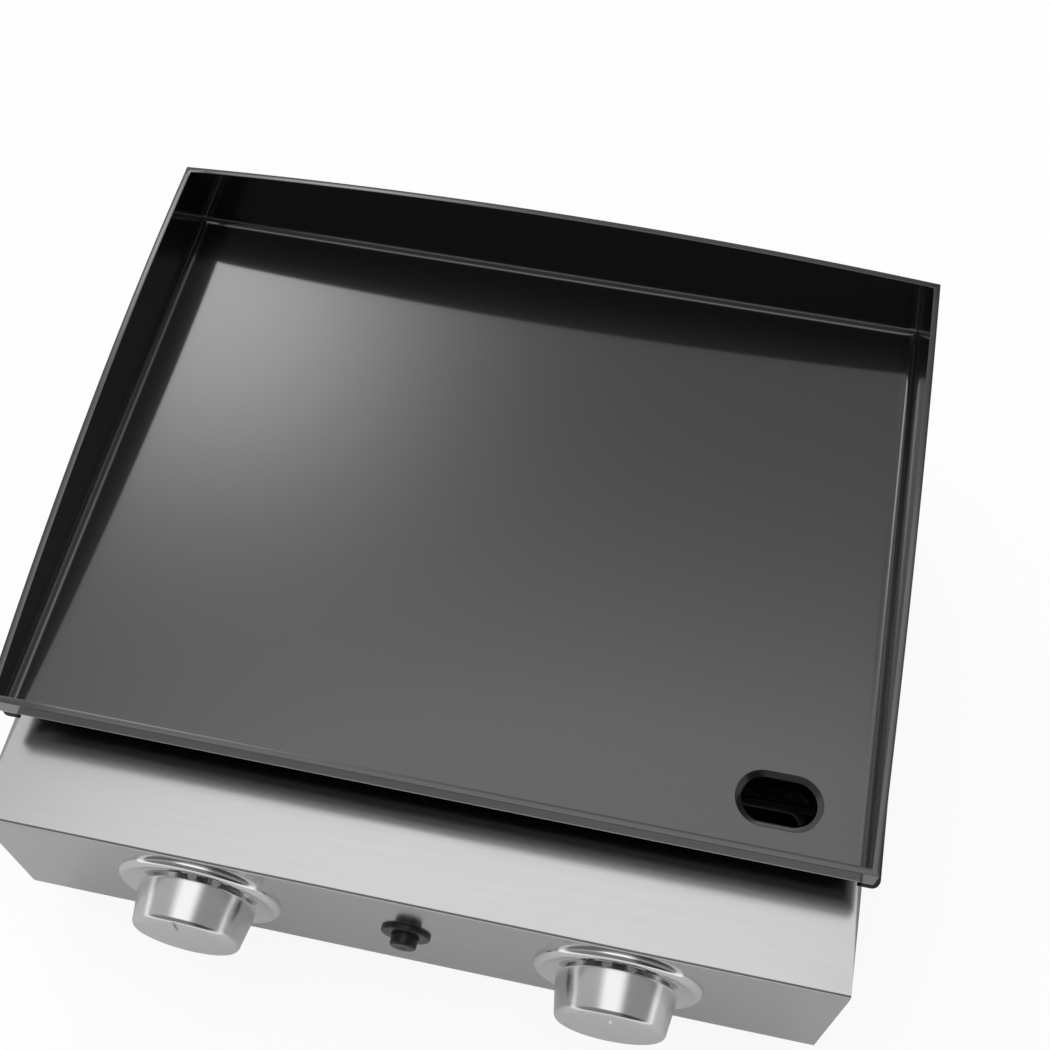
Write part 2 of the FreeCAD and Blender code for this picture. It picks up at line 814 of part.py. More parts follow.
def bottom_tray():
    """Shallow tray on the side panels' bottom returns, with air slots under the burners."""
    front_y = panel_face_y(tray_under_z) + 2 * panel_sheet
    outer = block(-tray_half_width, tray_half_width, front_y, tray_back_y, tray_under_z, tray_under_z + tray_wall)
    outer = outer.makeFillet(tray_bend + tray_sheet, bottom_edges(outer, tray_under_z))
    inside = block(
        -tray_half_width + tray_sheet, tray_half_width - tray_sheet, front_y + tray_sheet, tray_back_y - tray_sheet,
        tray_top_z, tray_under_z + tray_wall)
    inside = inside.makeFillet(tray_bend, bottom_edges(inside, tray_top_z))
    tray = outer.cut(inside)
    tools = []
    for x in (-knob_x, knob_x):
        for n in range(tray_slot_count):
            y = burner_middle_y + (n - (tray_slot_count - 1) / 2) * tray_slot_pitch
            tools.append(stadium(tray_slot_length, tray_slot_width, x, y, tray_under_z - cut_past, 2 * cut_past))
    for x, y in foot_places():
        tools.append(sheet_hole(foot_screw_radius + screw_hole_play, point(x, y, tray_under_z), up))
    screws = [(x, y) for x in (-foot_x, foot_x) for y in tray_screw_places()]
    screws += panel_screw_places() + bracket_screw_places() + baffle_screw_places()
    tools += [screw_hole(point(x, y, tray_under_z), up) for x, y in screws]
    return tray.cut(tools)


def heat_baffle():
    """Upright sheet with holes for the burner stems, the supply tube and the spark electrodes."""
    top_z = deck_z - baffle_top_gap
    line = [
        point(-tray_half_width, baffle_y + baffle_sheet + baffle_flange, tray_top_z),
        point(-tray_half_width, baffle_y, tray_top_z),
        point(-tray_half_width, baffle_y, top_z),
        point(-tray_half_width, baffle_y + baffle_sheet + baffle_flange, top_z),
    ]
    baffle = folded_sheet(line[::-1], right * (2 * tray_half_width), baffle_sheet, baffle_bend)
    trim = tray_sheet + tray_bend + sheet_gap
    tools = []
    for side in (-1, 1):
        x0, x1 = sorted((side * (tray_half_width - trim), side * (tray_half_width + cut_past)))
        tools.append(block(
            x0, x1, baffle_y - cut_past, baffle_y + baffle_sheet + baffle_flange + cut_past,
            tray_under_z - cut_past, tray_under_z + tray_wall + sheet_gap))
    for x in (-knob_x, knob_x):
        tools.append(sheet_hole(burner_radius + pipe_fit, point(x, baffle_y, burner_axis_z()), back))
    for x in (-electrode_x(), electrode_x()):
        tools.append(sheet_hole(insulator_radius + insulator_fit, point(x, baffle_y, electrode_z()), back))
    tools.append(sheet_hole(supply_radius + supply_hole_play, point(supply_x, baffle_y, manifold_centre().z), back))
    tools += [screw_hole(point(x, y, tray_top_z), up) for x, y in baffle_screw_places()]
    return baffle.cut(tools)


def baffle_screw_places():
    return [(side * baffle_screw_spacing, baffle_y + baffle_screw_setback) for side in (-1, 0, 1)]


def grease_cup():
    """Drawn cup with a rolled-out rim, and a pull tab that reaches out of the side window."""
    def cup_solid(inset, top_z, floor_z, corner, fillet):
        depth = top_z - floor_z
        draft = depth * math.tan(math.radians(cup_draft))
        upper = rounded_rectangle(
            cup_left_x + inset, cup_right_x - inset, cup_front_y + inset, cup_back_y - inset, top_z, corner)
        low = inset + draft
        lower = rounded_rectangle(
            cup_left_x + low, cup_right_x - low, cup_front_y + low, cup_back_y - low, floor_z, corner - draft)
        solid = Part.makeLoft([upper, lower], True, True)
        return solid.makeFillet(fillet, bottom_edges(solid, floor_z))

    floor_z = cup_rim_z - cup_depth
    body = cup_solid(cup_rim, cup_rim_z, floor_z, cup_corner, cup_floor_radius)
    hollow = cup_solid(
        cup_rim + cup_sheet, cup_rim_z, floor_z + cup_sheet, cup_corner - cup_sheet, cup_floor_radius - cup_sheet)
    rim = Part.Face(rounded_rectangle(
        cup_left_x, cup_right_x, cup_front_y, cup_back_y, cup_rim_z - cup_sheet, cup_corner + cup_rim))
    rim = rim.extrude(up * cup_sheet)
    middle_y = (cup_front_y + cup_back_y) / 2
    tab_x = side_x + cup_tab_reach
    line = [
        point(cup_right_x - cup_rim, middle_y - cup_tab_width / 2, cup_rim_z),
        point(tab_x, middle_y - cup_tab_width / 2, cup_rim_z),
        point(tab_x, middle_y - cup_tab_width / 2, cup_rim_z - cup_tab_drop),
    ]
    tab = folded_sheet(line[::-1], back * -cup_tab_width, cup_sheet, cup_sheet)
    tab.translate(back * cup_tab_width)
    return fused([body, rim, tab]).cut(hollow)


def hanger_rail(side):
    """One ledge under the cup's rim, turned up outside it as a guide and bent out to the side panel."""
    edge_y = cup_front_y if side < 0 else cup_back_y
    outside_y = edge_y + side * hanger_side_gap
    inside_y = edge_y - side * hanger_ledge
    ledge_z = hanger_ledge_z()
    start_x = cup_left_x - hanger_side_gap - hanger_sheet
    line = [
        point(start_x, inside_y, ledge_z),
        point(start_x, outside_y, ledge_z),
        point(start_x, outside_y, ledge_z + hanger_guide),
    ]
    length = inner_x - start_x
    if side < 0:
        line = line[::-1]
    rail = folded_sheet(line, right * -length, hanger_sheet, hanger_bend)
    rail.translate(right * length)
    outer_y = outside_y + side * hanger_tab
    y0, y1 = sorted((outside_y, outer_y))
    tab = block(
        inner_x - hanger_sheet, inner_x, y0, y1, ledge_z - hanger_sheet, ledge_z + hanger_guide)
    return [rail, tab]


def cup_hanger():
    """Two rails on the right side panel, joined by a strap behind the cup's inner end."""
    ledge_z = hanger_ledge_z()
    strap = block(
        cup_left_x - hanger_side_gap - hanger_sheet, cup_left_x - hanger_side_gap,
        cup_front_y - hanger_side_gap, cup_back_y + hanger_side_gap, ledge_z - hanger_sheet, ledge_z + hanger_guide)
    hanger = fused(hanger_rail(-1) + hanger_rail(1) + [strap])
    return hanger.cut([screw_hole(point(inner_x, y, hanger_screw_z()), right) for y in hanger_screw_places()])


def hanger_ledge_z():
    return cup_rim_z - cup_sheet - hanger_seat


def hanger_screw_places():
    reach = hanger_side_gap + hanger_screw_setback
    return (cup_front_y - reach, cup_back_y + reach)


def hanger_screw_z():
    return hanger_ledge_z() + (hanger_guide - hanger_sheet) / 2


def knob():
    """Hollow tapered knob with a domed front, a hub for the flatted stem and a pointer groove."""
    front = knob_gap + knob_length
    taper = (knob_radius - knob_front_radius) / (knob_length - knob_edge)
    shoulder = (knob_front_radius, front - knob_edge)
    rim = (knob_front_radius - knob_edge, front)
    middle = (rim[0] + knob_edge * math.sqrt(0.5), shoulder[1] + knob_edge * math.sqrt(0.5))
    inner = knob_radius - knob_wall
    roof = front - knob_wall - knob_edge / 2
    inner_top = inner - taper * (roof - knob_gap)
    hub_end = knob_gap + knob_hub_setback
    profile = line_through((knob_radius, knob_gap), shoulder)
    profile.append(arc_through(shoulder, middle, rim))
    profile.append(dome_arc(rim[0], front, front + knob_dome))
    profile += line_through(
        (0, front + knob_dome), (0, hub_end), (knob_hub_radius, hub_end), (knob_hub_radius, roof),
        (inner_top, roof), (inner, knob_gap), (knob_radius, knob_gap))
    body = revolved(profile)
    bore = rod(stem_radius + stem_fit, point(0, 0, hub_end), up, stem_top + stem_fit - hub_end)
    groove = block(
        -knob_mark_width / 2, knob_mark_width / 2, knob_front_radius - knob_mark_length, knob_radius,
        front - knob_mark_depth, front + knob_dome)
    return body.cut([bore.cut(stem_flat_side(stem_flat + stem_fit)), groove])


def stem_flat_side(distance):
    """What lies beyond the stem's flat, from the knob's base outwards."""
    return block(-knob_radius, knob_radius, distance, knob_radius, knob_gap, knob_gap + knob_length)


def valve_stem():
    """Round stem with a flat where the knob grips it."""
    bar = rod(stem_radius, point(0, 0, -stem_depth), up, stem_depth + stem_top)
    return bar.cut(stem_flat_side(stem_flat))


def stem_washer():
    """Thrust washer that follows the stem in and out without turning."""
    start = point(0, 0, -panel_sheet - washer_depth - washer_thickness)
    ring = rod(washer_radius, start, up, washer_thickness)
    return ring.cut(rod(stem_radius + washer_fit, start, up, washer_thickness))


def bezel():
    """Dished chrome ring with a rolled outer edge."""
    crest_radius = bezel_radius - bezel_roll
    hole = valve_nose_radius + bezel_sheet
    crest = (crest_radius, bezel_crest)
    under_crest = (crest_radius, bezel_crest - bezel_sheet)
    profile = line_through((hole, 0), (hole, bezel_sheet), (bezel_flat_radius, bezel_sheet))
    profile.append(bowed((bezel_flat_radius, bezel_sheet), crest, -bezel_sag))
    profile.append(bowed(crest, (bezel_radius, 0), bezel_roll_bow))
    profile += line_through((bezel_radius, 0), (bezel_radius - bezel_sheet, 0))
    profile.append(bowed((bezel_radius - bezel_sheet, 0), under_crest, -bezel_inner_bow))
    profile.append(bowed(under_crest, (bezel_flat_radius, 0), bezel_sag))
    profile += line_through((bezel_flat_radius, 0), (hole, 0))
    holes = [screw_hole(point(x, 0, 0), up) for x in (-valve_screw_spacing / 2, valve_screw_spacing / 2)]
    return revolved(profile).cut(holes)


def valve():
    """Valve body with a mounting flange, a nose for the stem, an inlet stub below and an outlet behind."""
    face = -panel_sheet
    end = face - valve_length
    flange = stadium(
        valve_screw_spacing + valve_flange_height, valve_flange_height, 0, 0,
        face - valve_flange_thickness, valve_flange_thickness)
    body = rod(valve_radius, point(0, 0, end), up, valve_length - valve_flange_thickness)
    stub = rod(
        valve_inlet_radius, point(0, 0, -valve_inlet_depth), back * -1,
        manifold_below_valve - manifold_radius + manifold_wall)
    outlet = rod(valve_outlet_radius, point(0, 0, end - valve_outlet_length), up, valve_outlet_length)
    solid = fused([flange, body, stub, outlet])
    tools = [
        rod(valve_nose_radius, point(0, 0, face - valve_nose_depth), up, valve_nose_depth),
        rod(stem_radius + washer_fit, point(0, 0, face - valve_stem_bore_depth), up, valve_stem_bore_depth),
    ]
    for x in (-valve_screw_spacing / 2, valve_screw_spacing / 2):
        tools.append(rod(screw_radius + pipe_fit, point(x, 0, face - valve_screw_depth), up, valve_screw_depth))
    return solid.cut(tools)


def gas_jet():
    """Brass hexagon screwed on the valve outlet, with a small hole in its tip."""
    end = point(0, 0, -jet_end)
    body = hexagon(jet_across, end + up * jet_tip_length, up, jet_hex_length)
    tip = rod(jet_tip_radius, end, up, jet_tip_length)
    tools = [
        rod(valve_outlet_radius + pipe_fit, point(0, 0, -valve_end), up, jet_thread),
        rod(jet_hole_radius, end, up, jet_hex_length + jet_tip_length),
    ]
    return fused([body, tip]).cut(tools)


def manifold_centre():
    """A point on the manifold's axis, under the valve inlets."""
    spot = panel_placement(0).multVec(point(0, -manifold_below_valve, -valve_inlet_depth))
    return point(0, spot.y, spot.z)


def upward():
    """Direction from the manifold to the valves, square to their axis."""
    return panel_placement(0).Rotation.multVec(back)


def gas_manifold():
    """Pipe under the valves with a boss for each of them."""
    centre = manifold_centre()
    start = point(manifold_left_x, centre.y, centre.z)
    length = manifold_right_x - manifold_left_x
    pipes = [rod(manifold_radius, start, right, length)]
    bores = [rod(manifold_radius - manifold_wall, start, right, length)]
    for x in (-knob_x, knob_x):
        foot = point(x, centre.y, centre.z)
        pipes.append(rod(manifold_boss_radius, foot, upward(), manifold_boss_height))
        bores.append(rod(valve_inlet_radius + pipe_fit, foot, upward(), manifold_boss_height))
    return fused(pipes).cut(bores)


def manifold_plug():
    """Hexagonal plug in the manifold's right end."""
    centre = manifold_centre()
    end = point(manifold_right_x, centre.y, centre.z)
    thread = rod(manifold_radius - manifold_wall - pipe_fit, end - right * plug_thread, right, plug_thread)
    return fused([thread, hexagon(plug_across, end, right, plug_head)])


def saddle_bracket(x, y, z, radius, foot_side):
    """Upright sheet with a round saddle for a tube along X, and a foot on the tray."""
    line = [
        point(x + foot_side * (saddle_foot + saddle_sheet), y - saddle_width / 2, tray_top_z),
        point(x, y - saddle_width / 2, tray_top_z),
        point(x, y - saddle_width / 2, z),
    ]
    if foot_side < 0:
        line = line[::-1]
    bracket = folded_sheet(line, back * saddle_width, saddle_sheet, saddle_bend)
    saddle = sheet_hole(radius + pipe_fit, point(x, y, z), right)
    return bracket.cut([saddle, screw_hole(point(saddle_screw_x(x, foot_side), y, tray_top_z), up)])


def saddle_screw_x(x, foot_side):
    return x + foot_side * (saddle_sheet + saddle_screw_setback)


def manifold_brackets():
    centre = manifold_centre()
    return Part.makeCompound([
        saddle_bracket(side * manifold_bracket_spacing / 2, centre.y, centre.z, manifold_radius, -side)
        for side in (-1, 1)])


def burner_brackets():
    return Part.makeCompound([saddle_bracket(side * knob_x, burner_rear_y, burner_axis_z(), burner_radius, -side)
                              for side in (-1, 1)])


def manifold_screw_places():
    return [(saddle_screw_x(side * manifold_bracket_spacing / 2, -side), manifold_centre().y) for side in (-1, 1)]


def burner_screw_places():
    return [(saddle_screw_x(side * knob_x, -side), burner_rear_y) for side in (-1, 1)]


def bracket_screw_places():
    return manifold_screw_places() + burner_screw_places()


def supply_line():
    """Route from the manifold's left end round to the inlet at the back."""
    centre = manifold_centre()
    return [
        point(manifold_left_x - nut_length / 2, centre.y, centre.z),
        point(supply_x, centre.y, centre.z),
        point(supply_x, inlet_inner_y - nut_length / 2, centre.z),
    ]


def supply_tube():
    outer = bent_bar(supply_line(), supply_bend, supply_radius)
    return outer.cut(bent_bar(supply_line(), supply_bend, supply_radius - supply_wall))


def tube_nuts():
    """Nuts that join the supply tube to the manifold and to the inlet."""
    centre = manifold_centre()
    starts = (
        (point(manifold_left_x, centre.y, centre.z), right * -1),
        (point(supply_x, inlet_inner_y, centre.z), back * -1),
    )
    nuts = []
    for start, direction in starts:
        nut = hexagon(nut_across, start, direction, nut_length)
        nuts.append(nut.cut(rod(supply_radius + pipe_fit, start, direction, nut_length)))
    return Part.makeCompound(nuts)


def inlet_fitting():
    """Gas inlet: inner stub, hexagon behind the back panel, bulkhead thread and a male thread with a coned seat."""
    z = manifold_centre().z
    hex_y = inlet_inner_y + inlet_stub_length
    face_y = hex_y + inlet_hex_length
    stub = rod(supply_radius + inlet_stub_wall, point(supply_x, inlet_inner_y, z), back, inlet_stub_length)
    body = hexagon(inlet_hex_across, point(supply_x, hex_y, z), back, inlet_hex_length)
    bulkhead_end_y = back_y + locknut_length + inlet_bulkhead_spare
    bulkhead = rod(inlet_bulkhead_radius, point(supply_x, face_y, z), back, bulkhead_end_y - face_y)
    thread = rod(inlet_thread_radius, point(supply_x, bulkhead_end_y, z), back, inlet_thread_length)
    end_y = bulkhead_end_y + inlet_thread_length
    cone = Part.makeCone(
        inlet_thread_radius, inlet_bore_radius + inlet_seat_width, inlet_cone, point(supply_x, end_y, z), back)
    bore = rod(inlet_bore_radius, point(supply_x, inlet_inner_y, z), back, end_y + inlet_cone - inlet_inner_y)
    return fused([stub, body, bulkhead, thread, cone]).cut(bore)


def inlet_locknut():
    z = manifold_centre().z
    start = point(supply_x, back_y, z)
    nut = hexagon(locknut_across, start, back, locknut_length)
    return nut.cut(rod(inlet_bulkhead_radius + pipe_fit, start, back, locknut_length))


def burner_axis_z():
    """The burner stem lines up with the tip of its jet."""
    return panel_placement(0).multVec(point(0, 0, -jet_end)).z


def burner_mouth_y():
    """The jet's tip reaches a little way into the burner's mouth."""
    return panel_placement(0).multVec(point(0, 0, -jet_end)).y - burner_jet_entry


def burner_solid(shrink):
    """Outer form of the right burner, or its hollow when shrunk by the wall."""
    z = burner_axis_z()
    radius = burner_radius - shrink
    half = burner_loop_width / 2
    near_x, far_x = knob_x - half, knob_x + half
    inset = burner_corner
    loop_length = burner_rear_y - burner_front_y
    bars = [
        rod(radius, point(near_x + inset, burner_front_y, z), right, burner_loop_width - 2 * inset),
        rod(radius, point(near_x + inset, burner_rear_y, z), right, burner_loop_width - 2 * inset),
        rod(radius, point(near_x, burner_front_y + inset, z), back, loop_length - 2 * inset),
        rod(radius, point(far_x, burner_front_y + inset, z), back, loop_length - 2 * inset),
    ]
    corners = (
        (near_x + inset, burner_front_y + inset, 180),
        (far_x - inset, burner_front_y + inset, 270),
        (far_x - inset, burner_rear_y - inset, 0),
        (near_x + inset, burner_rear_y - inset, 90),
    )
    for x, y, start in corners:
        ring = Part.makeTorus(burner_corner, radius, point(0, 0, 0), up, -180, 180, 90)
        ring.Placement = FreeCAD.Placement(point(x, y, z), FreeCAD.Rotation(up, start))
        bars.append(ring)
    mouth = burner_mouth_radius - shrink
    mouth_end = burner_mouth_y() + burner_mouth_length
    cone_end = mouth_end + burner_cone_length
    bars.append(rod(mouth, point(knob_x, burner_mouth_y(), z), back, burner_mouth_length))
    bars.append(Part.makeCone(mouth, radius, burner_cone_length, point(knob_x, mouth_end, z), back))
    bars.append(rod(radius, point(knob_x, cone_end, z), back, burner_front_y - cone_end))
    return fused(bars)


def burner_slits():
    """Saw cuts across the top of both legs and of the front bar."""
    z = burner_axis_z()
    low = z + burner_radius - burner_slit_depth
    high = z + burner_radius + cut_past
    run = burner_rear_y - burner_front_y - 2 * burner_corner
    count = int(run / burner_slit_pitch)
    cuts = []
    for leg_x in (knob_x - burner_loop_width / 2, knob_x + burner_loop_width / 2):
        for n in range(count):
            y = burner_middle_y + (n - (count - 1) / 2) * burner_slit_pitch
            cuts.append(block(
                leg_x - burner_radius, leg_x + burner_radius, y - burner_slit_width / 2, y + burner_slit_width / 2,
                low, high))
    for side in (-1, 1):
        for n in range(burner_front_slit_count):
            x = knob_x + side * (burner_front_slit_offset + n * burner_front_slit_pitch)
            cuts.append(block(
                x - burner_slit_width / 2, x + burner_slit_width / 2, burner_front_y - burner_radius,
                burner_front_y + burner_radius, low, high))
    return cuts


def burner():
    return burner_solid(0).cut([burner_solid(burner_wall)] + burner_slits())


def at_left(shape):
    """The same piece for the left burner."""
    moved = shape.copy()
    moved.translate(right * (-2 * knob_x))
    return moved


def air_shutter():
    """Sleeve over the burner mouth, its front disc pierced for the jet and for air."""
    z = burner_axis_z()
    inner = shutter_radius - shutter_wall
    front_y = burner_mouth_y() - sheet_gap - shutter_wall
    sleeve = rod(shutter_radius, point(knob_x, front_y, z), back, shutter_length)
    tools = [
        rod(inner, point(knob_x, front_y + shutter_wall, z), back, shutter_length),
        sheet_hole(shutter_hole_radius, point(knob_x, front_y, z), back),
    ]
    ring = (shutter_hole_radius + inner) / 2
    for n in range(shutter_vents):
        angle = 2 * math.pi * n / shutter_vents
        spot = point(knob_x + ring * math.cos(angle), front_y, z + ring * math.sin(angle))
        tools.append(sheet_hole(shutter_vent_radius, spot, back))
    return sleeve.cut(tools)


def crossover_channel():
    """Upturned channel across the two inner legs, which carries the flame from one burner to the other."""
    top_z = burner_axis_z() + burner_radius + crossover_seat
    low_z = top_z - crossover_skirt
    leg = knob_x - burner_loop_width / 2
    end = leg + crossover_overlap
    front_y, rear_y = burner_middle_y - crossover_width / 2, burner_middle_y + crossover_width / 2
    line = [
        point(-end, rear_y, low_z),
        point(-end, rear_y, top_z + crossover_sheet),
        point(-end, front_y, top_z + crossover_sheet),
        point(-end, front_y, low_z),
    ]
    channel = folded_sheet(line, right * (2 * end), crossover_sheet, crossover_sheet)
    tools = []
    for side in (-1, 1):
        x0, x1 = sorted((side * (leg - burner_radius - crossover_seat), side * (end + cut_past)))
        tools.append(block(x0, x1, front_y - cut_past, rear_y + cut_past, low_z, top_z))
    return channel.cut(tools)


def igniter_body():
    """Spark igniter: front flange, threaded nose through the panel, and body with two terminals."""
    nose_end = -panel_sheet - igniter_thread_length
    body_end = nose_end - igniter_body_length
    forms = [
        rod(igniter_flange_radius, point(0, 0, 0), up, igniter_flange_thickness),
        rod(igniter_thread_radius, point(0, 0, nose_end), up, -nose_end),
        rod(igniter_body_radius, point(0, 0, body_end), up, igniter_body_length),
    ]
    for x in (-igniter_terminal_spacing / 2, igniter_terminal_spacing / 2):
        forms.append(rod(
            igniter_terminal_radius, point(x, 0, body_end - igniter_terminal_length), up, igniter_terminal_length))
    bore = rod(
        igniter_button_radius + igniter_button_play,
        point(0, 0, igniter_flange_thickness - igniter_bore_depth), up, igniter_bore_depth)
    return fused(forms).cut(bore)


def igniter_nut():
    start = point(0, 0, -panel_sheet - igniter_nut_length)
    nut = hexagon(igniter_nut_across, start, up, igniter_nut_length)
    return nut.cut(rod(igniter_thread_radius + pipe_fit, start, up, igniter_nut_length))


def igniter_button():
    """Round button with a softened rim."""
    button = rod(
        igniter_button_radius, point(0, 0, -igniter_button_depth), up, igniter_button_depth + igniter_button_height)
    rim = [e for e in button.Edges if abs(e.BoundBox.ZMin - igniter_button_height) < 1e-6]
    return button.makeFillet(igniter_button_edge, rim)


def electrode_x():
    return knob_x - electrode_offset


def electrode_z():
    return burner_axis_z() + electrode_rise


def insulator_front_y():
    return baffle_y - insulator_lead


def insulator_back_y():
    """The wire beyond it ends over the burner's front bar."""
    return burner_front_y + electrode_past_bar - electrode_reach


def ignition_leads():
    """One lead from each igniter terminal to its electrode."""
    depth = panel_sheet + igniter_thread_length + igniter_body_length + igniter_terminal_length
    leads = []
    for side in (-1, 1):
        start = panel_placement(0).multVec(point(side * igniter_terminal_spacing / 2, 0, -depth))
        run_y = start.y + lead_slack
        line = [
            start,
            panel_placement(0).multVec(point(start.x, 0, -depth - lead_slack)),
            point(side * (electrode_x() + igniter_terminal_spacing) / 2, run_y, electrode_z()),
            point(side * electrode_x(), run_y, electrode_z()),
            point(side * electrode_x(), insulator_front_y(), electrode_z()),
        ]
        leads.append(bent_bar(line, lead_bend, lead_radius))
    return Part.makeCompound(leads)


def electrode_insulators():
    """Ceramic sleeves through the baffle, each with a collar against its front face."""
    pieces = []
    for x in (-electrode_x(), electrode_x()):
        length = insulator_back_y() - insulator_front_y()
        sleeve = rod(insulator_radius, point(x, insulator_front_y(), electrode_z()), back, length)
        collar = rod(
            insulator_collar_radius, point(x, baffle_y - insulator_collar_length, electrode_z()), back,
            insulator_collar_length)
        pieces.append(fused([sleeve, collar]))
    return Part.makeCompound(pieces)


def electrode_rods():
    """Wires that end just above the burners' front bars."""
    start_y = insulator_back_y()
    tip_z = burner_axis_z() + burner_radius + spark_gap
    pieces = []
    for x in (-electrode_x(), electrode_x()):
        line = [
            point(x, start_y, electrode_z()),
            point(x, start_y + electrode_reach, electrode_z()),
            point(x, start_y + electrode_reach, tip_z),
        ]
        pieces.append(bent_bar(line, electrode_bend, electrode_radius))
    return Part.makeCompound(pieces)


def foot_places():
    return [(x, y) for x in (-foot_x, foot_x) for y in (foot_front_y, foot_back_y)]


def rubber_feet():
    """Tapered feet with a recess for the screw head."""
    feet = []
    for x, y in foot_places():
        foot = Part.makeCone(foot_bottom_radius, foot_top_radius, ground_clearance, point(x, y, 0), up)
        foot = foot.makeFillet(foot_edge, bottom_edges(foot, 0))
        tools = [
            rod(foot_recess_radius, point(x, y, 0), up, foot_recess_depth),
            rod(foot_screw_radius + screw_hole_play, point(x, y, 0), up, ground_clearance),
        ]
        feet.append(foot.cut(tools))
    return Part.makeCompound(feet)


def foot_screws():
    shank = tray_top_z + foot_nut_height + foot_screw_spare - foot_recess_depth
    return Part.makeCompound([
        screw(point(x, y, foot_recess_depth), up, shank, foot_screw_radius, foot_screw_head_radius,
              foot_screw_head_height)
        for x, y in foot_places()])


def foot_nuts():
    nuts = []
    for x, y in foot_places():
        start = point(x, y, tray_top_z)
        nut = hexagon(foot_nut_across, start, up, foot_nut_height)
        nuts.append(nut.cut(rod(foot_screw_radius + pipe_fit, start, up, foot_nut_height)))
    return Part.makeCompound(nuts)


def panel_screws():
    return Part.makeCompound([screw(point(x, y, ground_clearance), up, screw_grip)
                              for x, y in panel_screw_places()])


def back_screws():
    return Part.makeCompound([screw(spot, back * -1, screw_grip) for spot in back_screw_spots()])


def tray_screws():
    places = [(x, y) for x in (-foot_x, foot_x) for y in tray_screw_places()]
    return Part.makeCompound([screw(point(x, y, tray_top_z), up * -1, screw_grip) for x, y in places])


def baffle_screws():
    return Part.makeCompound([screw(point(x, y, tray_top_z + baffle_sheet), up * -1, screw_grip)
                              for x, y in baffle_screw_places()])


def bracket_screws():
    return Part.makeCompound([screw(point(x, y, tray_top_z + saddle_sheet), up * -1, screw_grip)
                              for x, y in bracket_screw_places()])


def hanger_screws():
    return Part.makeCompound([screw(point(side_x, y, hanger_screw_z()), right * -1, screw_grip)
                              for y in hanger_screw_places()])


def valve_screws():
    screws = []
    for x in (-knob_x, knob_x):
        for offset in (-valve_screw_spacing / 2, valve_screw_spacing / 2):
            grip = bezel_sheet + panel_sheet + valve_flange_thickness
            screws.append(on_panel(screw(point(offset, 0, bezel_sheet), up * -1, grip), x))
    return Part.makeCompound(screws)


def both_on_panel(shape):
    return Part.makeCompound([on_panel(shape, -knob_x), on_panel(shape, knob_x)])


parts = {
    "griddle_plate": griddle_plate(),
    "drain_spout": drain_spout(),
    "plate_stiffeners": plate_stiffeners(),
    "locating_studs": locating_studs(),
    "stud_rests": stud_rests(),
    "control_panel": control_panel(),
    "side_panel_left": side_panel(),
    "side_panel_right": side_panel_right(),
    "back_panel": back_panel(),
    "bottom_tray": bottom_tray(),
    "heat_baffle": heat_baffle(),
    "grease_cup": grease_cup(),
    "cup_hanger": cup_hanger(),
    "bezel_left": on_panel(bezel(), -knob_x),
    "bezel_right": on_panel(bezel(), knob_x),
    "knob_left": on_panel(knob(), -knob_x),
    "knob_right": on_panel(knob(), knob_x),
    "valve_stem_left": on_panel(valve_stem(), -knob_x),
    "valve_stem_right": on_panel(valve_stem(), knob_x),
    "stem_washer_left": on_panel(stem_washer(), -knob_x),
    "stem_washer_right": on_panel(stem_washer(), knob_x),
    "valve_left": on_panel(valve(), -knob_x),
    "valve_right": on_panel(valve(), knob_x),
    "gas_jets": both_on_panel(gas_jet()),
    "gas_manifold": gas_manifold(),
    "manifold_plug": manifold_plug(),
    "manifold_brackets": manifold_brackets(),
    "supply_tube": supply_tube(),
    "tube_nuts": tube_nuts(),
    "inlet_fitting": inlet_fitting(),
    "inlet_locknut": inlet_locknut(),
    "burner_left": at_left(burner()),
    "burner_right": burner(),
    "air_shutters": Part.makeCompound([air_shutter(), at_left(air_shutter())]),
    "burner_brackets": burner_brackets(),
    "crossover_channel": crossover_channel(),
    "igniter_body": on_panel(igniter_body(), 0),
    "igniter_nut": on_panel(igniter_nut(), 0),
    "igniter_button": on_panel(igniter_button(), 0),
    "ignition_leads": ignition_leads(),
    "electrode_insulators": electrode_insulators(),
    "electrode_rods": electrode_rods(),
    "rubber_feet": rubber_feet(),
    "foot_screws": foot_screws(),
    "foot_nuts": foot_nuts(),
    "panel_screws": panel_screws(),
    "back_screws": back_screws(),
    "tray_screws": tray_screws(),
    "baffle_screws": baffle_screws(),
    "bracket_screws": bracket_screws(),
    "hanger_screws": hanger_screws(),
    "valve_screws": valve_screws(),
}

# The origin lies under the middle of the whole part, between the knobs' fronts and the inlet's end.
front_end = parts["knob_left"].optimalBoundingBox(False, False).YMin
back_end = parts["inlet_fitting"].optimalBoundingBox(False, False).YMax
to_middle = back * (-(front_end + back_end) / 2)
print("moved along Y by", round(to_middle.y, 4))
print("knob height", round(knob_z, 4), "panel face there", round(panel_face_y(knob_z) + to_middle.y, 4))
print("inlet axis height", round(manifold_centre().z, 4), "inlet end", round(back_end + to_middle.y, 4))

os.makedirs("parts", exist_ok=True)
for name, shape in parts.items():
    shape.translate(to_middle)
    shape.exportStep("parts/" + name + ".step")
    print(name, shape.isValid(), len(shape.Solids))
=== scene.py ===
import json
import math

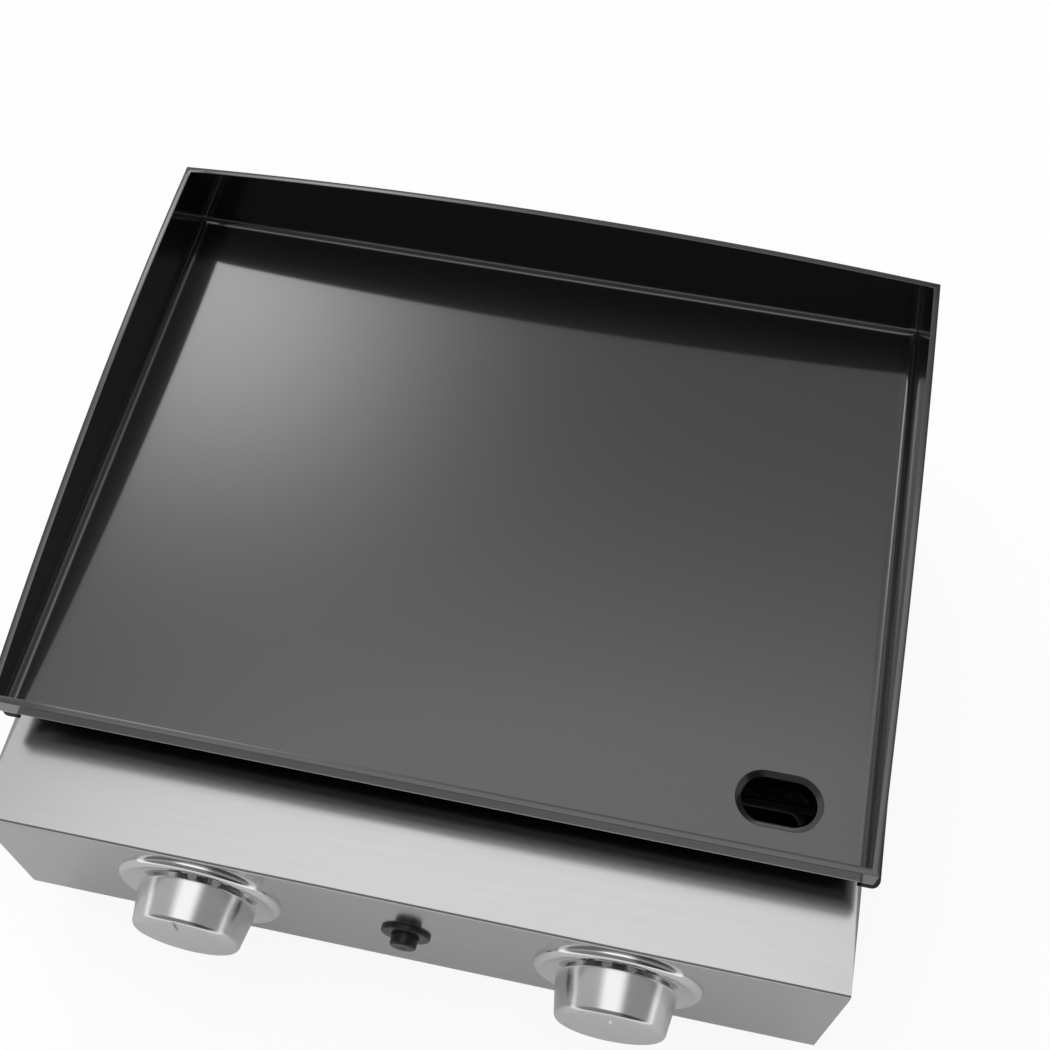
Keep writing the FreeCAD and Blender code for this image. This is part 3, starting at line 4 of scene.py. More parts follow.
import bmesh
import bpy
import numpy as np
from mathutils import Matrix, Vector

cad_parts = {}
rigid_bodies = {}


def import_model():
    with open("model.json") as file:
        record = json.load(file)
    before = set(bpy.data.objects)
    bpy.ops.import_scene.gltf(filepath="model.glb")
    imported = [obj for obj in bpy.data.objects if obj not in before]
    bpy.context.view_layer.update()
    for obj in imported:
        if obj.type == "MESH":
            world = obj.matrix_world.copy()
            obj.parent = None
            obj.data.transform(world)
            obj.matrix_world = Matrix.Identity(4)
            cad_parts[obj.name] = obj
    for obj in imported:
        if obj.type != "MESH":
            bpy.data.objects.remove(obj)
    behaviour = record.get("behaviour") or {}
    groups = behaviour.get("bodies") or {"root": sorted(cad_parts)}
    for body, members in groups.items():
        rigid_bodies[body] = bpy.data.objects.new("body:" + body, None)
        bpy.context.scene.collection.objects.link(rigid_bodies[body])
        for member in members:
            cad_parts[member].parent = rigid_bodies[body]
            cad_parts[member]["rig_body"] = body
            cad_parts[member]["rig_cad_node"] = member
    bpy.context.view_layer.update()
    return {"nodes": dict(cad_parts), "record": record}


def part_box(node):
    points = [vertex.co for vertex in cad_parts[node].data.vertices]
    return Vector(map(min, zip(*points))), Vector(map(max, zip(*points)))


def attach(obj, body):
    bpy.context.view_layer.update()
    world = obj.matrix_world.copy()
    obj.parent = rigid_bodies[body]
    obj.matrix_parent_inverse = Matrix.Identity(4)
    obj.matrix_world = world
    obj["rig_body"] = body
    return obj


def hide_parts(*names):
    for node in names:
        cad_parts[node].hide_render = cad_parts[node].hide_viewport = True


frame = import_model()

# Table-top gas griddle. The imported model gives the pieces; this script dresses them.
cadNodes = frame["nodes"]
joints = {joint["name"]: joint for joint in frame["record"]["behaviour"]["joints"]}
bodyOf = {node: body for body, nodes in frame["record"]["behaviour"]["bodies"].items() for node in nodes}
slotOf = {part["node"]: part["material_slot"] for part in frame["record"]["subparts"]}
mm = 0.001
fullTurn = 2 * math.pi
beside = 0.02 * mm
print("frame loaded,", len(cadNodes), "pieces")


# camera
view = {
    "place": (0.10117, -0.35141, 0.83345), "turn": (0.4999, 0.10465, 0.17678),
    "lens": 49.985, "sensor": 36.0, "nearest": 0.01,
}


def placed(name, data):
    # a new object in the scene
    thing = bpy.data.objects.new(name, data)
    bpy.context.scene.collection.objects.link(thing)
    return thing


def addCamera(spec):
    lens = bpy.data.cameras.new("mainCamera")
    lens.sensor_fit = "HORIZONTAL"
    lens.sensor_width = spec["sensor"]
    lens.lens = spec["lens"]
    lens.clip_start = spec["nearest"]
    camera = placed("mainCamera", lens)
    camera.rotation_mode = "ZYX"
    camera.rotation_euler = spec["turn"]
    camera.location = spec["place"]
    bpy.context.scene.camera = camera


addCamera(view)
bpy.context.scene.view_settings.view_transform = "Standard"


# node helpers
def nodeIn(tree, kind, values=None, **settings):
    # one node with its settings; an input takes a value or another node's output
    node = tree.nodes.new("ShaderNode" + kind)
    for name, value in settings.items():
        setattr(node, name, value)
    for key, value in (values or {}).items():
        if isinstance(value, bpy.types.NodeSocket):
            tree.links.new(value, node.inputs[key])
        else:
            node.inputs[key].default_value = value
    return node


def mathIn(tree, operation, first, second=0.0, clamp=False):
    values = {0: first, 1: second}
    return nodeIn(tree, "Math", values, operation=operation, use_clamp=clamp).outputs[0]


def vectorIn(tree, operation, first, second):
    return nodeIn(tree, "VectorMath", {0: first, 1: second}, operation=operation).outputs


def scaledIn(tree, place, factors):
    return vectorIn(tree, "MULTIPLY", place, factors)[0]


def dotIn(tree, first, second):
    return vectorIn(tree, "DOT_PRODUCT", first, second)["Value"]


def rangeIn(tree, value, low, high, newLow, newHigh, curve="LINEAR"):
    ends = {"Value": value, "From Min": low, "From Max": high, "To Min": newLow, "To Max": newHigh}
    return nodeIn(tree, "MapRange", ends, interpolation_type=curve).outputs[0]


def mixIn(tree, share, first, second):
    return nodeIn(tree, "Mix", {0: share, 6: first, 7: second}, data_type="RGBA").outputs[2]


def noiseIn(tree, place, scale, detail=2.0):
    values = {"Vector": place, "Scale": scale, "Detail": detail}
    return nodeIn(tree, "TexNoise", values).outputs["Fac"]


def spreadIn(tree, noise, ends):
    # noise is between 0.3 and 0.7 nearly everywhere; that range is spread over the given ends
    return rangeIn(tree, noise, 0.3, 0.7, *ends)


def newGroup(name, inputs, outputs):
    # empty shader group: inputs as (name, default), None for a vector; outputs as (name, kind)
    group = bpy.data.node_groups.new(name, "ShaderNodeTree")
    for socketName, default in inputs:
        kind = "NodeSocketVector" if default is None else "NodeSocketFloat"
        socket = group.interface.new_socket(socketName, in_out="INPUT", socket_type=kind)
        if default is not None:
            socket.default_value = default
    for socketName, kind in outputs:
        group.interface.new_socket(socketName, in_out="OUTPUT", socket_type="NodeSocket" + kind)
    return group, group.nodes.new("NodeGroupInput").outputs, group.nodes.new("NodeGroupOutput").inputs


def useGroup(tree, group, **values):
    return nodeIn(tree, "Group", values, node_tree=group).outputs


wear = {
    "samples": 4, "flat": 0.995, "edge": 0.8, "patches": 260.0, "detail": 4.0, "whole": 0.45, "bare": 0.62,
}


def makeSoftEdge(spec):
    # a normal rounded near edges, and a mask of them for wear: the fall of the dot product of rounded and
    # true normal, times patches of noise
    group, given, result = newGroup(
        "softEdge", [("place", None), ("radius", 0.0004), ("wear", 0.5)],
        [("normal", "Vector"), ("mask", "Float")])
    rounded = nodeIn(group, "Bevel", {"Radius": given["radius"]}, samples=spec["samples"])
    true = nodeIn(group, "NewGeometry")
    turned = dotIn(group, rounded.outputs[0], true.outputs["Normal"])
    edge = rangeIn(group, turned, spec["flat"], spec["edge"], 0.0, 1.0)
    spots = noiseIn(group, given["place"], spec["patches"], spec["detail"])
    patch = rangeIn(group, spots, spec["whole"], spec["bare"], 0.0, 1.0)
    mask = mathIn(group, "MULTIPLY", mathIn(group, "MULTIPLY", edge, patch), given["wear"], True)
    group.links.new(rounded.outputs[0], result["normal"])
    group.links.new(mask, result["mask"])
    return group


def makeFineGrain():
    # two sizes of noise: a fine one for the surface's bump, a broad one for tone and gloss
    group, given, result = newGroup(
        "fineGrain", [("place", None), ("fineSize", 0.0008), ("broadSize", 0.06)],
        [("fine", "Float"), ("broad", "Float")])
    for size, detail, output in (("fineSize", 2.0, "fine"), ("broadSize", 5.0, "broad")):
        scale = mathIn(group, "DIVIDE", 1.0, given[size])
        group.links.new(noiseIn(group, given["place"], scale, detail), result[output])
    return group


def makeStrokes():
    # hair lines: noise over the place divided by a stroke's length sideways and by its width otherwise;
    # bands are broader noise of the same kind
    broader = (0.3, 0.08, 0.08)
    group, given, result = newGroup(
        "strokes", [("place", None), ("length", 0.03), ("width", 0.00025)],
        [("lines", "Float"), ("bands", "Float")])
    along = mathIn(group, "DIVIDE", 1.0, given["length"])
    across = mathIn(group, "DIVIDE", 1.0, given["width"])
    stretch = nodeIn(group, "CombineXYZ", {"X": along, "Y": across, "Z": across}).outputs[0]
    spot = scaledIn(group, given["place"], stretch)
    group.links.new(noiseIn(group, spot, 1.0), result["lines"])
    group.links.new(noiseIn(group, scaledIn(group, spot, broader), 1.0, 3.0), result["bands"])
    return group


softEdge = makeSoftEdge(wear)
fineGrain = makeFineGrain()
strokes = makeStrokes()


def newMaterial(name, **values):
    # a material with its Principled shader, whose values are set by socket name
    material = bpy.data.materials.new(name)
    material.use_nodes = True
    tree = material.node_tree
    shader = tree.nodes["Principled BSDF"]
    for key, value in values.items():
        shader.inputs[key.replace("_", " ")].default_value = value
    place = nodeIn(tree, "TexCoord").outputs["Object"]
    return material, tree, shader, place


def bumpInto(tree, shader, height, distance, strength, normal=None):
    bump = nodeIn(tree, "Bump", {"Height": height, "Distance": distance, "Strength": strength})
    if normal is not None:
        tree.links.new(normal, bump.inputs["Normal"])
    tree.links.new(bump.outputs[0], shader.inputs["Normal"])


def toneInto(tree, shader, tone, gloss):
    tree.links.new(tone, shader.inputs["Base Color"])
    tree.links.new(gloss, shader.inputs["Roughness"])


def grey(level, warm=0.0):
    # red and blue differ from the level by the share warm
    return (level * (1 + warm), level, level * (1 - warm), 1.0)


seasoned = {
    "tones": (grey(0.0015), grey(0.003, 0.02)), "gloss": (0.31, 0.34), "grain": 0.0007, "drift": 0.12,
    "edge": 0.00015, "wear": 0.3, "bare": grey(0.03), "bump": 0.00001, "strength": 0.2,
}
powder = {
    "tones": (grey(0.006), grey(0.010)), "gloss": (0.34, 0.46), "grain": 0.0007, "drift": 0.04,
    "edge": 0.0004, "wear": 0.25, "bare": grey(0.10), "bump": 0.00004, "strength": 0.5,
}
plain = {"drift": 0.02, "edge": 0.0002, "wear": 0.0, "strength": 0.5}


def grainedFinish(name, spec, **values):
    # broad noise mixes two tones and two roughnesses, fine noise is the bump, edges may wear to a bare tone
    material, tree, shader, place = newMaterial(name, **values)
    grain = useGroup(tree, fineGrain, place=place, fineSize=spec["grain"], broadSize=spec["drift"])
    edge = useGroup(tree, softEdge, place=place, radius=spec["edge"], wear=spec["wear"])
    tone = mixIn(tree, grain["broad"], *spec["tones"])
    if spec["wear"]:
        tone = mixIn(tree, edge["mask"], tone, spec["bare"])
    toneInto(tree, shader, tone, spreadIn(tree, grain["broad"], spec["gloss"]))
    bumpInto(tree, shader, grain["fine"], spec["bump"], spec["strength"], edge["normal"])
    return material


def plainFinish(name, first, second, gloss, grain, bump, metal=0.0):
    spec = dict(plain, tones=(first, second), gloss=gloss, grain=grain, bump=bump)
    return grainedFinish(name, spec, Metallic=metal)


stainless = {
    "tones": (grey(0.50), grey(0.53, 0.003)), "gloss": (0.14, 0.19), "length": 0.03, "width": 0.00028,
    "edge": 0.0003, "bump": 0.000003, "strength": 0.4,
}


def brushedStainless(spec):
    # stainless sheet brushed from side to side
    material, tree, shader, place = newMaterial("brushedStainless", Metallic=1.0, Anisotropic=0.3)
    brush = useGroup(tree, strokes, place=place, length=spec["length"], width=spec["width"])
    edge = useGroup(tree, softEdge, place=place, radius=spec["edge"], wear=0.0)
    tone = mixIn(tree, brush["bands"], *spec["tones"])
    toneInto(tree, shader, tone, spreadIn(tree, brush["lines"], spec["gloss"]))
    bumpInto(tree, shader, brush["lines"], spec["bump"], spec["strength"], edge["normal"])
    return material


turned = {
    "tones": (grey(0.70), grey(0.78)), "gloss": (0.14, 0.24), "around": 0.7, "line": 0.00016,
    "patches": 60.0, "bump": 0.000004, "strength": 0.5,
}


def turnedMetal(spec):
    # satin knob metal: fine rings left by the lathe, from the piece's own round and run coordinates
    material, tree, shader, place = newMaterial("turnedMetal", Metallic=1.0)
    spin = nodeIn(tree, "Attribute", attribute_name="spin").outputs["Vector"]
    stretch = (spec["around"], spec["around"], 1 / spec["line"])
    rings = noiseIn(tree, scaledIn(tree, spin, stretch), 1.0, 3.0)
    drift = noiseIn(tree, place, spec["patches"], 3.0)
    tone = mixIn(tree, drift, *spec["tones"])
    toneInto(tree, shader, tone, spreadIn(tree, rings, spec["gloss"]))
    bumpInto(tree, shader, rings, spec["bump"], spec["strength"])
    return material


spangle = {
    "tones": (grey(0.40, -0.01), grey(0.60)), "gloss": (0.28, 0.50), "cell": 0.007, "waves": 90.0,
    "wander": 0.004, "edge": 0.0003, "frost": 0.0006, "bump": 0.00001, "strength": 0.4,
}


def galvanisedSheet(spec):
    # hot-dip zinc: each crystal has its own tone and gloss, with a fine frost over them
    material, tree, shader, place = newMaterial("galvanisedSheet", Metallic=1.0)
    wobble = nodeIn(tree, "TexNoise", {"Vector": place, "Scale": spec["waves"]}).outputs["Color"]
    spot = vectorIn(tree, "ADD", scaledIn(tree, wobble, (spec["wander"],) * 3), place)[0]
    cells = {"Vector": spot, "Scale": 1 / spec["cell"]}
    crystals = nodeIn(tree, "TexVoronoi", cells).outputs["Color"]
    chance = nodeIn(tree, "SeparateColor", {0: crystals}).outputs[0]
    edge = useGroup(tree, softEdge, place=place, radius=spec["edge"], wear=0.0)
    tone = mixIn(tree, chance, *spec["tones"])
    toneInto(tree, shader, tone, rangeIn(tree, chance, 0.0, 1.0, *spec["gloss"]))
    frost = noiseIn(tree, place, 1 / spec["frost"])
    bumpInto(tree, shader, frost, spec["bump"], spec["strength"], edge["normal"])
    return material


heated = {
    "steel": 0.36, "straw": (0.40, 0.31, 0.19, 1), "blue": (0.17, 0.17, 0.24, 1), "gloss": (0.26, 0.42),
    "grain": 0.0009, "drift": 0.025, "bump": 0.00001, "strength": 0.5,
    "rise": (-0.3, 0.7), "strawFrom": (0.45, 0.85), "blueFrom": (0.9, 1.25),
}


def heatedSteel(spec):
    # burner tube: steel, then straw and blue heat colours towards the ports on top, by height plus noise
    material, tree, shader, place = newMaterial("heatedSteel", Metallic=1.0)
    grain = useGroup(tree, fineGrain, place=place, fineSize=spec["grain"], broadSize=spec["drift"])
    low, high = corner("burner_left")
    height = nodeIn(tree, "SeparateXYZ", {0: place}).outputs["Z"]
    warmth = mathIn(tree, "ADD", rangeIn(tree, height, low[2], high[2], *spec["rise"]), grain["broad"])
    tone = grey(spec["steel"])
    for colour in ("straw", "blue"):
        start, end = spec[colour + "From"]
        tone = mixIn(tree, rangeIn(tree, warmth, start, end, 0.0, 1.0), tone, spec[colour])
    toneInto(tree, shader, tone, spreadIn(tree, grain["broad"], spec["gloss"]))
    bumpInto(tree, shader, grain["fine"], spec["bump"], spec["strength"])
    return material


def corner(node):
    # lowest and highest corner of a node
    low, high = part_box(node)
    return np.array(low), np.array(high)


# black cooking steel has a glossy skin of burnt oil over a satin base, black sheet a fine orange peel
finishes = {
    "plate": grainedFinish(
        "seasonedSteel", seasoned, IOR=1.42, Coat_Weight=1.0, Coat_Roughness=0.08, Coat_IOR=1.8),
    "stainless": brushedStainless(stainless),
    "black_paint": grainedFinish("powderCoat", powder),
    "knob_metal": turnedMetal(turned),
    "galvanised": galvanisedSheet(spangle),
    "burner_steel": heatedSteel(heated),
    "chrome": plainFinish("chrome", grey(0.72), grey(0.80), (0.04, 0.08), 0.002, 0.000001, 1.0),
    "zinc": plainFinish(
        "zincPlate", (0.60, 0.61, 0.63, 1), (0.68, 0.67, 0.62, 1), (0.24, 0.34), 0.001, 0.000005, 1.0),
    "brass": plainFinish(
        "brass", (0.66, 0.46, 0.20, 1), (0.74, 0.55, 0.28, 1), (0.22, 0.34), 0.001, 0.000006, 1.0),
    "rubber": plainFinish("rubber", grey(0.010), grey(0.018), (0.62, 0.80), 0.0006, 0.00003),
    "plastic": plainFinish("blackPlastic", grey(0.010), grey(0.015), (0.28, 0.38), 0.0005, 0.00001),
    "ceramic": plainFinish(
        "ceramic", (0.70, 0.68, 0.62, 1), (0.78, 0.76, 0.71, 1), (0.22, 0.36), 0.001, 0.00001),
    "lead_sheath": plainFinish("leadSheath", grey(0.015), grey(0.025), (0.35, 0.48), 0.001, 0.00001),
}
print("finishes ready:", len(finishes))


# surfaces
def gridFaces(rows, columns, closeRows):
    # quads of a grid whose columns close round; closed rows join the last one to the first
    row = np.arange(rows if closeRows else rows - 1)
    r, c = np.meshgrid(row, np.arange(columns), indexing="ij")
    nextR, nextC = (r + 1) % rows, (c + 1) % columns
    ring = (r * columns + c, r * columns + nextC, nextR * columns + nextC, nextR * columns + c)
    return np.stack(ring, axis=2).reshape(-1, 4)


def shellOf(points, closed=True, spin=None):
    return {"points": points, "closed": closed, "spin": np.zeros_like(points) if spin is None else spin}


smoothAngle = 35.0


def makePiece(name, node, shells, angle=smoothAngle):
    # one mesh of several shells in place of a CAD node, faces outwards, smooth up to the angle
    counts = [shell["points"].size // 3 for shell in shells]
    starts = np.cumsum([0] + counts[:-1])
    points = np.concatenate([shell["points"].reshape(-1, 3) for shell in shells])
    faces = [gridFaces(*shell["points"].shape[:2], shell["closed"]) + start
             for shell, start in zip(shells, starts)]
    mesh = bpy.data.meshes.new(name)
    mesh.from_pydata(points.tolist(), [], np.concatenate(faces).tolist())
    spins = np.concatenate([shell["spin"].reshape(-1, 3) for shell in shells])
    mesh.attributes.new("spin", "FLOAT_VECTOR", "POINT").data.foreach_set("vector", spins.ravel())
    mergeAndTurn(mesh, True)
    smoothUpTo(mesh, angle)
    dress(placed(name, mesh), node)


def mergeAndTurn(mesh, turnFaces):
    work = bmesh.new()
    work.from_mesh(mesh)
    bmesh.ops.remove_doubles(work, verts=work.verts, dist=1e-6)
    if turnFaces:
        bmesh.ops.recalc_face_normals(work, faces=work.faces)
    work.to_mesh(mesh)
    work.free()


def smoothUpTo(mesh, angle):
    mesh.shade_smooth()
    mesh.set_sharp_from_angle(angle=math.radians(angle))


dressed = set()


def dress(piece, *nodes):
    # finish, slot and body are those of the CAD nodes that the piece stands for
    dressed.update(nodes)
    slotName = slotOf[nodes[0]]
    piece.data.materials.clear()
    piece.data.materials.append(finishes[slotName])
    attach(piece, bodyOf[nodes[0]])
    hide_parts(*nodes)


def filleted(corners, closed=False, steps=5):
    # outline of (across, along, fillet) corners: a fillet becomes an arc tangent to both sides
    spots = np.array([item[:2] for item in corners], dtype=float)
    line = []
    for n, (_, _, fillet) in enumerate(corners):
        here, before, after = spots[n], spots[n - 1], spots[(n + 1) % len(spots)]
        if fillet == 0 or (not closed and n in (0, len(corners) - 1)):
            line.append(here[None])
            continue
        toBefore, toAfter = before - here, after - here
        lengths = np.hypot(*toBefore), np.hypot(*toAfter)
        toBefore, toAfter = toBefore / lengths[0], toAfter / lengths[1]
        half = math.acos(np.clip(toBefore @ toAfter, -1, 1)) / 2
        cut = min(fillet / math.tan(half), 0.49 * min(lengths))
        radius = cut * math.tan(half)
        bisector = (toBefore + toAfter) / np.hypot(*(toBefore + toAfter))
        centre = here + bisector * radius / math.sin(half)
        sweep = math.pi - 2 * half
        share = np.linspace(0, 1, steps + 1)[:, None]
        first, last = here + toBefore * cut - centre, here + toAfter * cut - centre
        arc = np.sin((1 - share) * sweep) * first + np.sin(share * sweep) * last
        line.append(centre + arc / math.sin(sweep))
    return np.concatenate(line)


def bowed(first, last, bow, steps=8):
    # circular arc between two points whose middle stands off the chord to its left by bow
    first, last = np.array(first, dtype=float), np.array(last, dtype=float)
    chord = last - first
    length = np.hypot(*chord)
    left = np.array([-chord[1], chord[0]]) / length
    radius = (length ** 2 / 4 + bow ** 2) / (2 * abs(bow))
    along = np.linspace(-length / 2, length / 2, steps + 1)
    rise = np.sign(bow) * (np.sqrt(radius ** 2 - along ** 2) - (radius - abs(bow)))
    return (first + last) / 2 + along[:, None] * chord / length + rise[:, None] * left


def axesAlong(axis, sideways=(1.0, 0.0, 0.0)):
    # rows are a local X, Y and Z, with Z along the axis
    z = np.array(axis, dtype=float)
    z /= np.linalg.norm(z)
    x = np.array(sideways) - np.dot(sideways, z) * z
    x /= np.linalg.norm(x)
    return np.array([x, np.cross(z, x), z])


def turning(profile, origin, axes, closed=True, columns=72, across=None, thread=None):
    # (radius, height) rows swept round the axis. Flats limit the radius to half the width across them over
    # the cosine of the angle from a flat's middle. A thread lowers rows at its radius by a triangle wave of
    # height over pitch plus the share of a turn.
    angle = np.arange(columns)[None, :] / columns * fullTurn
    radius, height = profile[:, :1] + 0 * angle, profile[:, 1:2] + 0 * angle
    if across is not None:
        radius = np.minimum(radius, across / 2 / np.cos(angle % (math.pi / 3) - math.pi / 6))
    if thread is not None:
        wave = np.abs((height / thread["pitch"] + angle / fullTurn) % 1 * 2 - 1)
        radius = radius - np.isclose(radius, thread["radius"]) * wave * thread["depth"]
    return swept(profile, radius, angle + 0 * radius, height, origin, axes, closed)


def swept(profile, radius, angle, height, origin, axes, closed):
    # points by radius, angle and height; spin keeps the round direction and the run along the profile
    local = np.stack([radius * np.cos(angle), radius * np.sin(angle), height], axis=2)
    steps = np.hypot(*np.diff(profile, axis=0, prepend=profile[:1]).T)
    spin = np.stack([np.cos(angle), np.sin(angle), np.cumsum(steps)[:, None] + 0 * angle], axis=2)
    return shellOf(local @ axes + np.array(origin), closed, spin)


def slottedTurning(profile, origin, axes, slot):
    # turned bar whose columns follow the edges of radial slots: beside an arm they keep a fixed distance
    # from its middle, and between arms they spread evenly; inside a slot the height goes down to its floor
    half, arms = slot["width"] / 2, slot["arms"]
    offsets = np.array([-half - beside, -half + beside, 0.0, half - beside, half + beside])
    limit = math.sin(min(math.pi / arms, math.pi / 2))
    radius = profile[:, :1]
    held = np.maximum(radius, max(slot["start"], 1e-6))
    lead = np.arcsin(np.clip(offsets / held, -limit, limit))
    step = fullTurn / arms
    share = np.arange(1, slot["between"] + 1) / (slot["between"] + 1)
    sector = np.concatenate([lead, lead[:, -1:] + (step - 2 * lead[:, -1:]) * share], axis=1)
    angle = np.concatenate([sector + arm * step for arm in range(arms)], axis=1) + slot["turn"]
    inArm = np.tile(np.concatenate([np.abs(offsets) < half, np.zeros(slot["between"], dtype=bool)]), arms)
    deep = inArm[None, :] & (radius >= slot["start"]) & (radius <= slot["end"])
    if arms > 1:
        deep |= radius <= half / limit
    floor = slot["floor"] + slot["rise"] * radius
    height = np.where(deep, np.minimum(profile[:, 1:2], floor), profile[:, 1:2])
    return swept(profile, radius + 0 * angle, angle, height, origin, axes, False)


def solidsOf(node):
    # lowest and highest corner of each solid in a node: every point takes the lowest number it is joined to
    mesh = cadNodes[node].data.copy()
    mergeAndTurn(mesh, False)
    points = np.array([vertex.co for vertex in mesh.vertices])
    ends = np.array([tuple(edge.vertices) for edge in mesh.edges])
    label, changed = np.arange(len(points)), True
    while changed:
        lower = label.copy()
        np.minimum.at(lower, ends[:, 0], label[ends[:, 1]])
        np.minimum.at(lower, ends[:, 1], label[ends[:, 0]])
        lower = lower[lower]
        changed = bool((lower != label).any())
        label = lower
    bpy.data.meshes.remove(mesh)
    groups = [points[label == number] for number in np.unique(label)]
    return [(group.min(axis=0), group.max(axis=0)) for group in groups]


# cooking plate
plate = {
    "sheet": 3.4 * mm, "bend": 4.2 * mm, "lipHeight": 16.8 * mm, "wallHeight": 40.9 * mm,
    "backArch": 9.6 * mm, "sideBulge": 7.8 * mm, "edgeRound": 0.15 * mm,
    "holeLength": 37.0 * mm, "holeWidth": 22.4 * mm, "holeRim": 3.2 * mm, "holeSlope": math.radians(30),
    "holeRound": 1.6 * mm, "holeX": 171.8 * mm, "holeFromLip": 33.2 * mm,
    "rays": 640, "bendSteps": 10, "edgeSteps": 3, "margin": 0.6 * mm,
}


def archHeight(place, start, end, rise):
    # height of a circular arc between two (place, height) ends, which leaves its chord by rise midway
    start, end = np.array(start), np.array(end)
    chord = end - start
    length = np.hypot(*chord)
    radius = (length ** 2 / 4 + rise ** 2) / (2 * rise)
    normal = np.array([-chord[1], chord[0]]) / length
    middle = (start + end) / 2 - normal * (radius - rise)
    return middle[1] + np.sqrt(radius ** 2 - (place - middle[0]) ** 2)


def holeRing(spec, centre, direction, growth):
    # where rays meet the drain hole's stadium, widened by growth: on its flat side, else on its round end
    straight = (spec["holeLength"] - spec["holeWidth"]) / 2
    radius = spec["holeWidth"] / 2 + growth
    across, along = np.abs(direction[:, 1]), np.abs(direction[:, 0])
    flat = radius / np.maximum(across, 1e-9)
    end = straight * along + np.sqrt(np.maximum(radius ** 2 - (straight * across) ** 2, 0))
    return centre + direction * np.where(flat * along <= straight, flat, end)[:, None]


def flatRing(ring, z):
    return np.column_stack([ring, z + 0 * ring[:, 0]])


def plateRings(spec):
    # one closed surface: rings round the plate, each at its own inset from the outer face, from the drain
    # hole under the floor, up the outer wall, over the cut edge and back over the floor to the hole. Rings
    # at a margin beside each bend keep the flats flat.
    low, high = corner("griddle_plate")
    sheet, bend = spec["sheet"], spec["bend"]
    wide = bend + sheet
    underZ = low[2]
    cookZ = underZ + sheet
    centre = np.array([spec["holeX"], low[1] + spec["holeFromLip"]])

    # rays from the hole's centre meet the floor's edge; each keeps its share along its side
    angle = (np.arange(spec["rays"]) + 0.5) / spec["rays"] * fullTurn - math.pi
    floorLow, floorHigh = low[:2] + wide, high[:2] - wide
    ringCorners = np.array([floorLow, [floorHigh[0], floorLow[1]], floorHigh, [floorLow[0], floorHigh[1]]])
    away = ringCorners - centre
    cornerAngle = np.arctan2(away[:, 1], away[:, 0])
    nearest = np.abs(angle[None, :] - cornerAngle[:, None]).argmin(axis=1)
    angle[nearest] = cornerAngle
    ray = np.stack([np.cos(angle), np.sin(angle)], axis=1)
    reach = np.where(ray > 0, floorHigh - centre, floorLow - centre) / ray
    edge = centre + ray * reach.min(axis=1)[:, None]
    edge[nearest] = ringCorners
    onRight = np.isclose(edge[:, 0], floorHigh[0])
    onBack = np.isclose(edge[:, 1], floorHigh[1])
    onLeft = np.isclose(edge[:, 0], floorLow[0])
    side = np.select([onRight & ~onBack, onBack & ~onLeft, onLeft], [1, 2, 3], 0)
    side[nearest] = np.arange(4)
    first, second = ringCorners[side], ringCorners[(side + 1) % 4]
    share = np.linalg.norm(edge - first, axis=1) / np.linalg.norm(second - first, axis=1)

    def ringAt(inset):
        a, b = low[:2] + inset, high[:2] - inset
        spots = np.array([a, [b[0], a[1]], b, [a[0], b[1]]])
        return spots[side] + (spots[(side + 1) % 4] - spots[side]) * share[:, None]

    def wallTop(ring):
        # the lip is level, each side wall follows an arc in Y, and the back wall one in X
        frontY, backY = low[1] + sheet, high[1] - sheet
        lipZ, backZ = cookZ + spec["lipHeight"], cookZ + spec["wallHeight"]
        place = np.clip(ring[:, 1], frontY, backY)
        sideZ = archHeight(place, (frontY, lipZ), (backY, backZ), spec["sideBulge"])
        archZ = archHeight(ring[:, 0], (low[0], backZ), (high[0], backZ), spec["backArch"])
        onSide = (side == 1) | (side == 3)
        top = np.where(onSide, sideZ, np.where(side == 2, archZ, lipZ))
        top[nearest[2:]] = backZ
        top[nearest[:2]] = lipZ
        return top

    towards = edge - centre
    towards /= np.linalg.norm(towards, axis=1)[:, None]
    turn = np.linspace(0, math.pi / 2, spec["bendSteps"] + 1)
    quarter = np.linspace(0, math.pi / 2, spec["edgeSteps"] + 1)
    margin, rounding = spec["margin"], spec["edgeRound"]
    rings = []

    def add(ring, z):
        rings.append(flatRing(ring, z))

    add(holeRing(spec, centre, towards, 0), underZ)
    add(ringAt(wide + margin), underZ)
    for a in turn:
        add(ringAt(wide - wide * math.sin(a)), underZ + wide - wide * math.cos(a))
    add(ringAt(0), underZ + wide + margin)
    outer = [(rounding - rounding * math.cos(a), rounding * math.sin(a)) for a in quarter]
    inner = [(sheet - rounding + rounding * math.cos(a), rounding * math.sin(a)) for a in quarter[::-1]]
    for inset, rise in [(0, -margin), *outer, *inner, (sheet, -margin)]:
        add(ringAt(inset), wallTop(ringAt(inset)) - rounding + rise)
    add(ringAt(sheet), cookZ + bend + margin)
    for a in turn:
        add(ringAt(wide - bend * math.cos(a)), cookZ + bend - bend * math.sin(a))
    add(ringAt(wide + margin), cookZ)

    # the pressed rim goes down at its slope from one round to the next
    rim, rimRound = spec["holeRim"], spec["holeRound"]
    drop = rim * math.tan(spec["holeSlope"])
    pressed = filleted([
        (rim + margin, 0, 0), (rim, 0, rimRound), (0, -drop, rimRound / 2), (0, -sheet, 0)], steps=6)
    for growth, height in pressed[:-1]:
        add(holeRing(spec, centre, towards, growth), cookZ + height)
    return np.array(rings)


rings = plateRings(plate)
makePiece("cookingPlate", "griddle_plate", [shellOf(rings)])
print("cooking plate:", rings.shape[0], "rings of", rings.shape[1])


# spout under the drain hole: (growth beyond the hole, depth under the plate) outline carried round the hole
spout = {
    "step": 0.8 * mm, "sheet": 1.2 * mm, "flange": 3.5 * mm, "depth": 10.0 * mm, "taper": 1.5 * mm,
    "columns": 120,
}


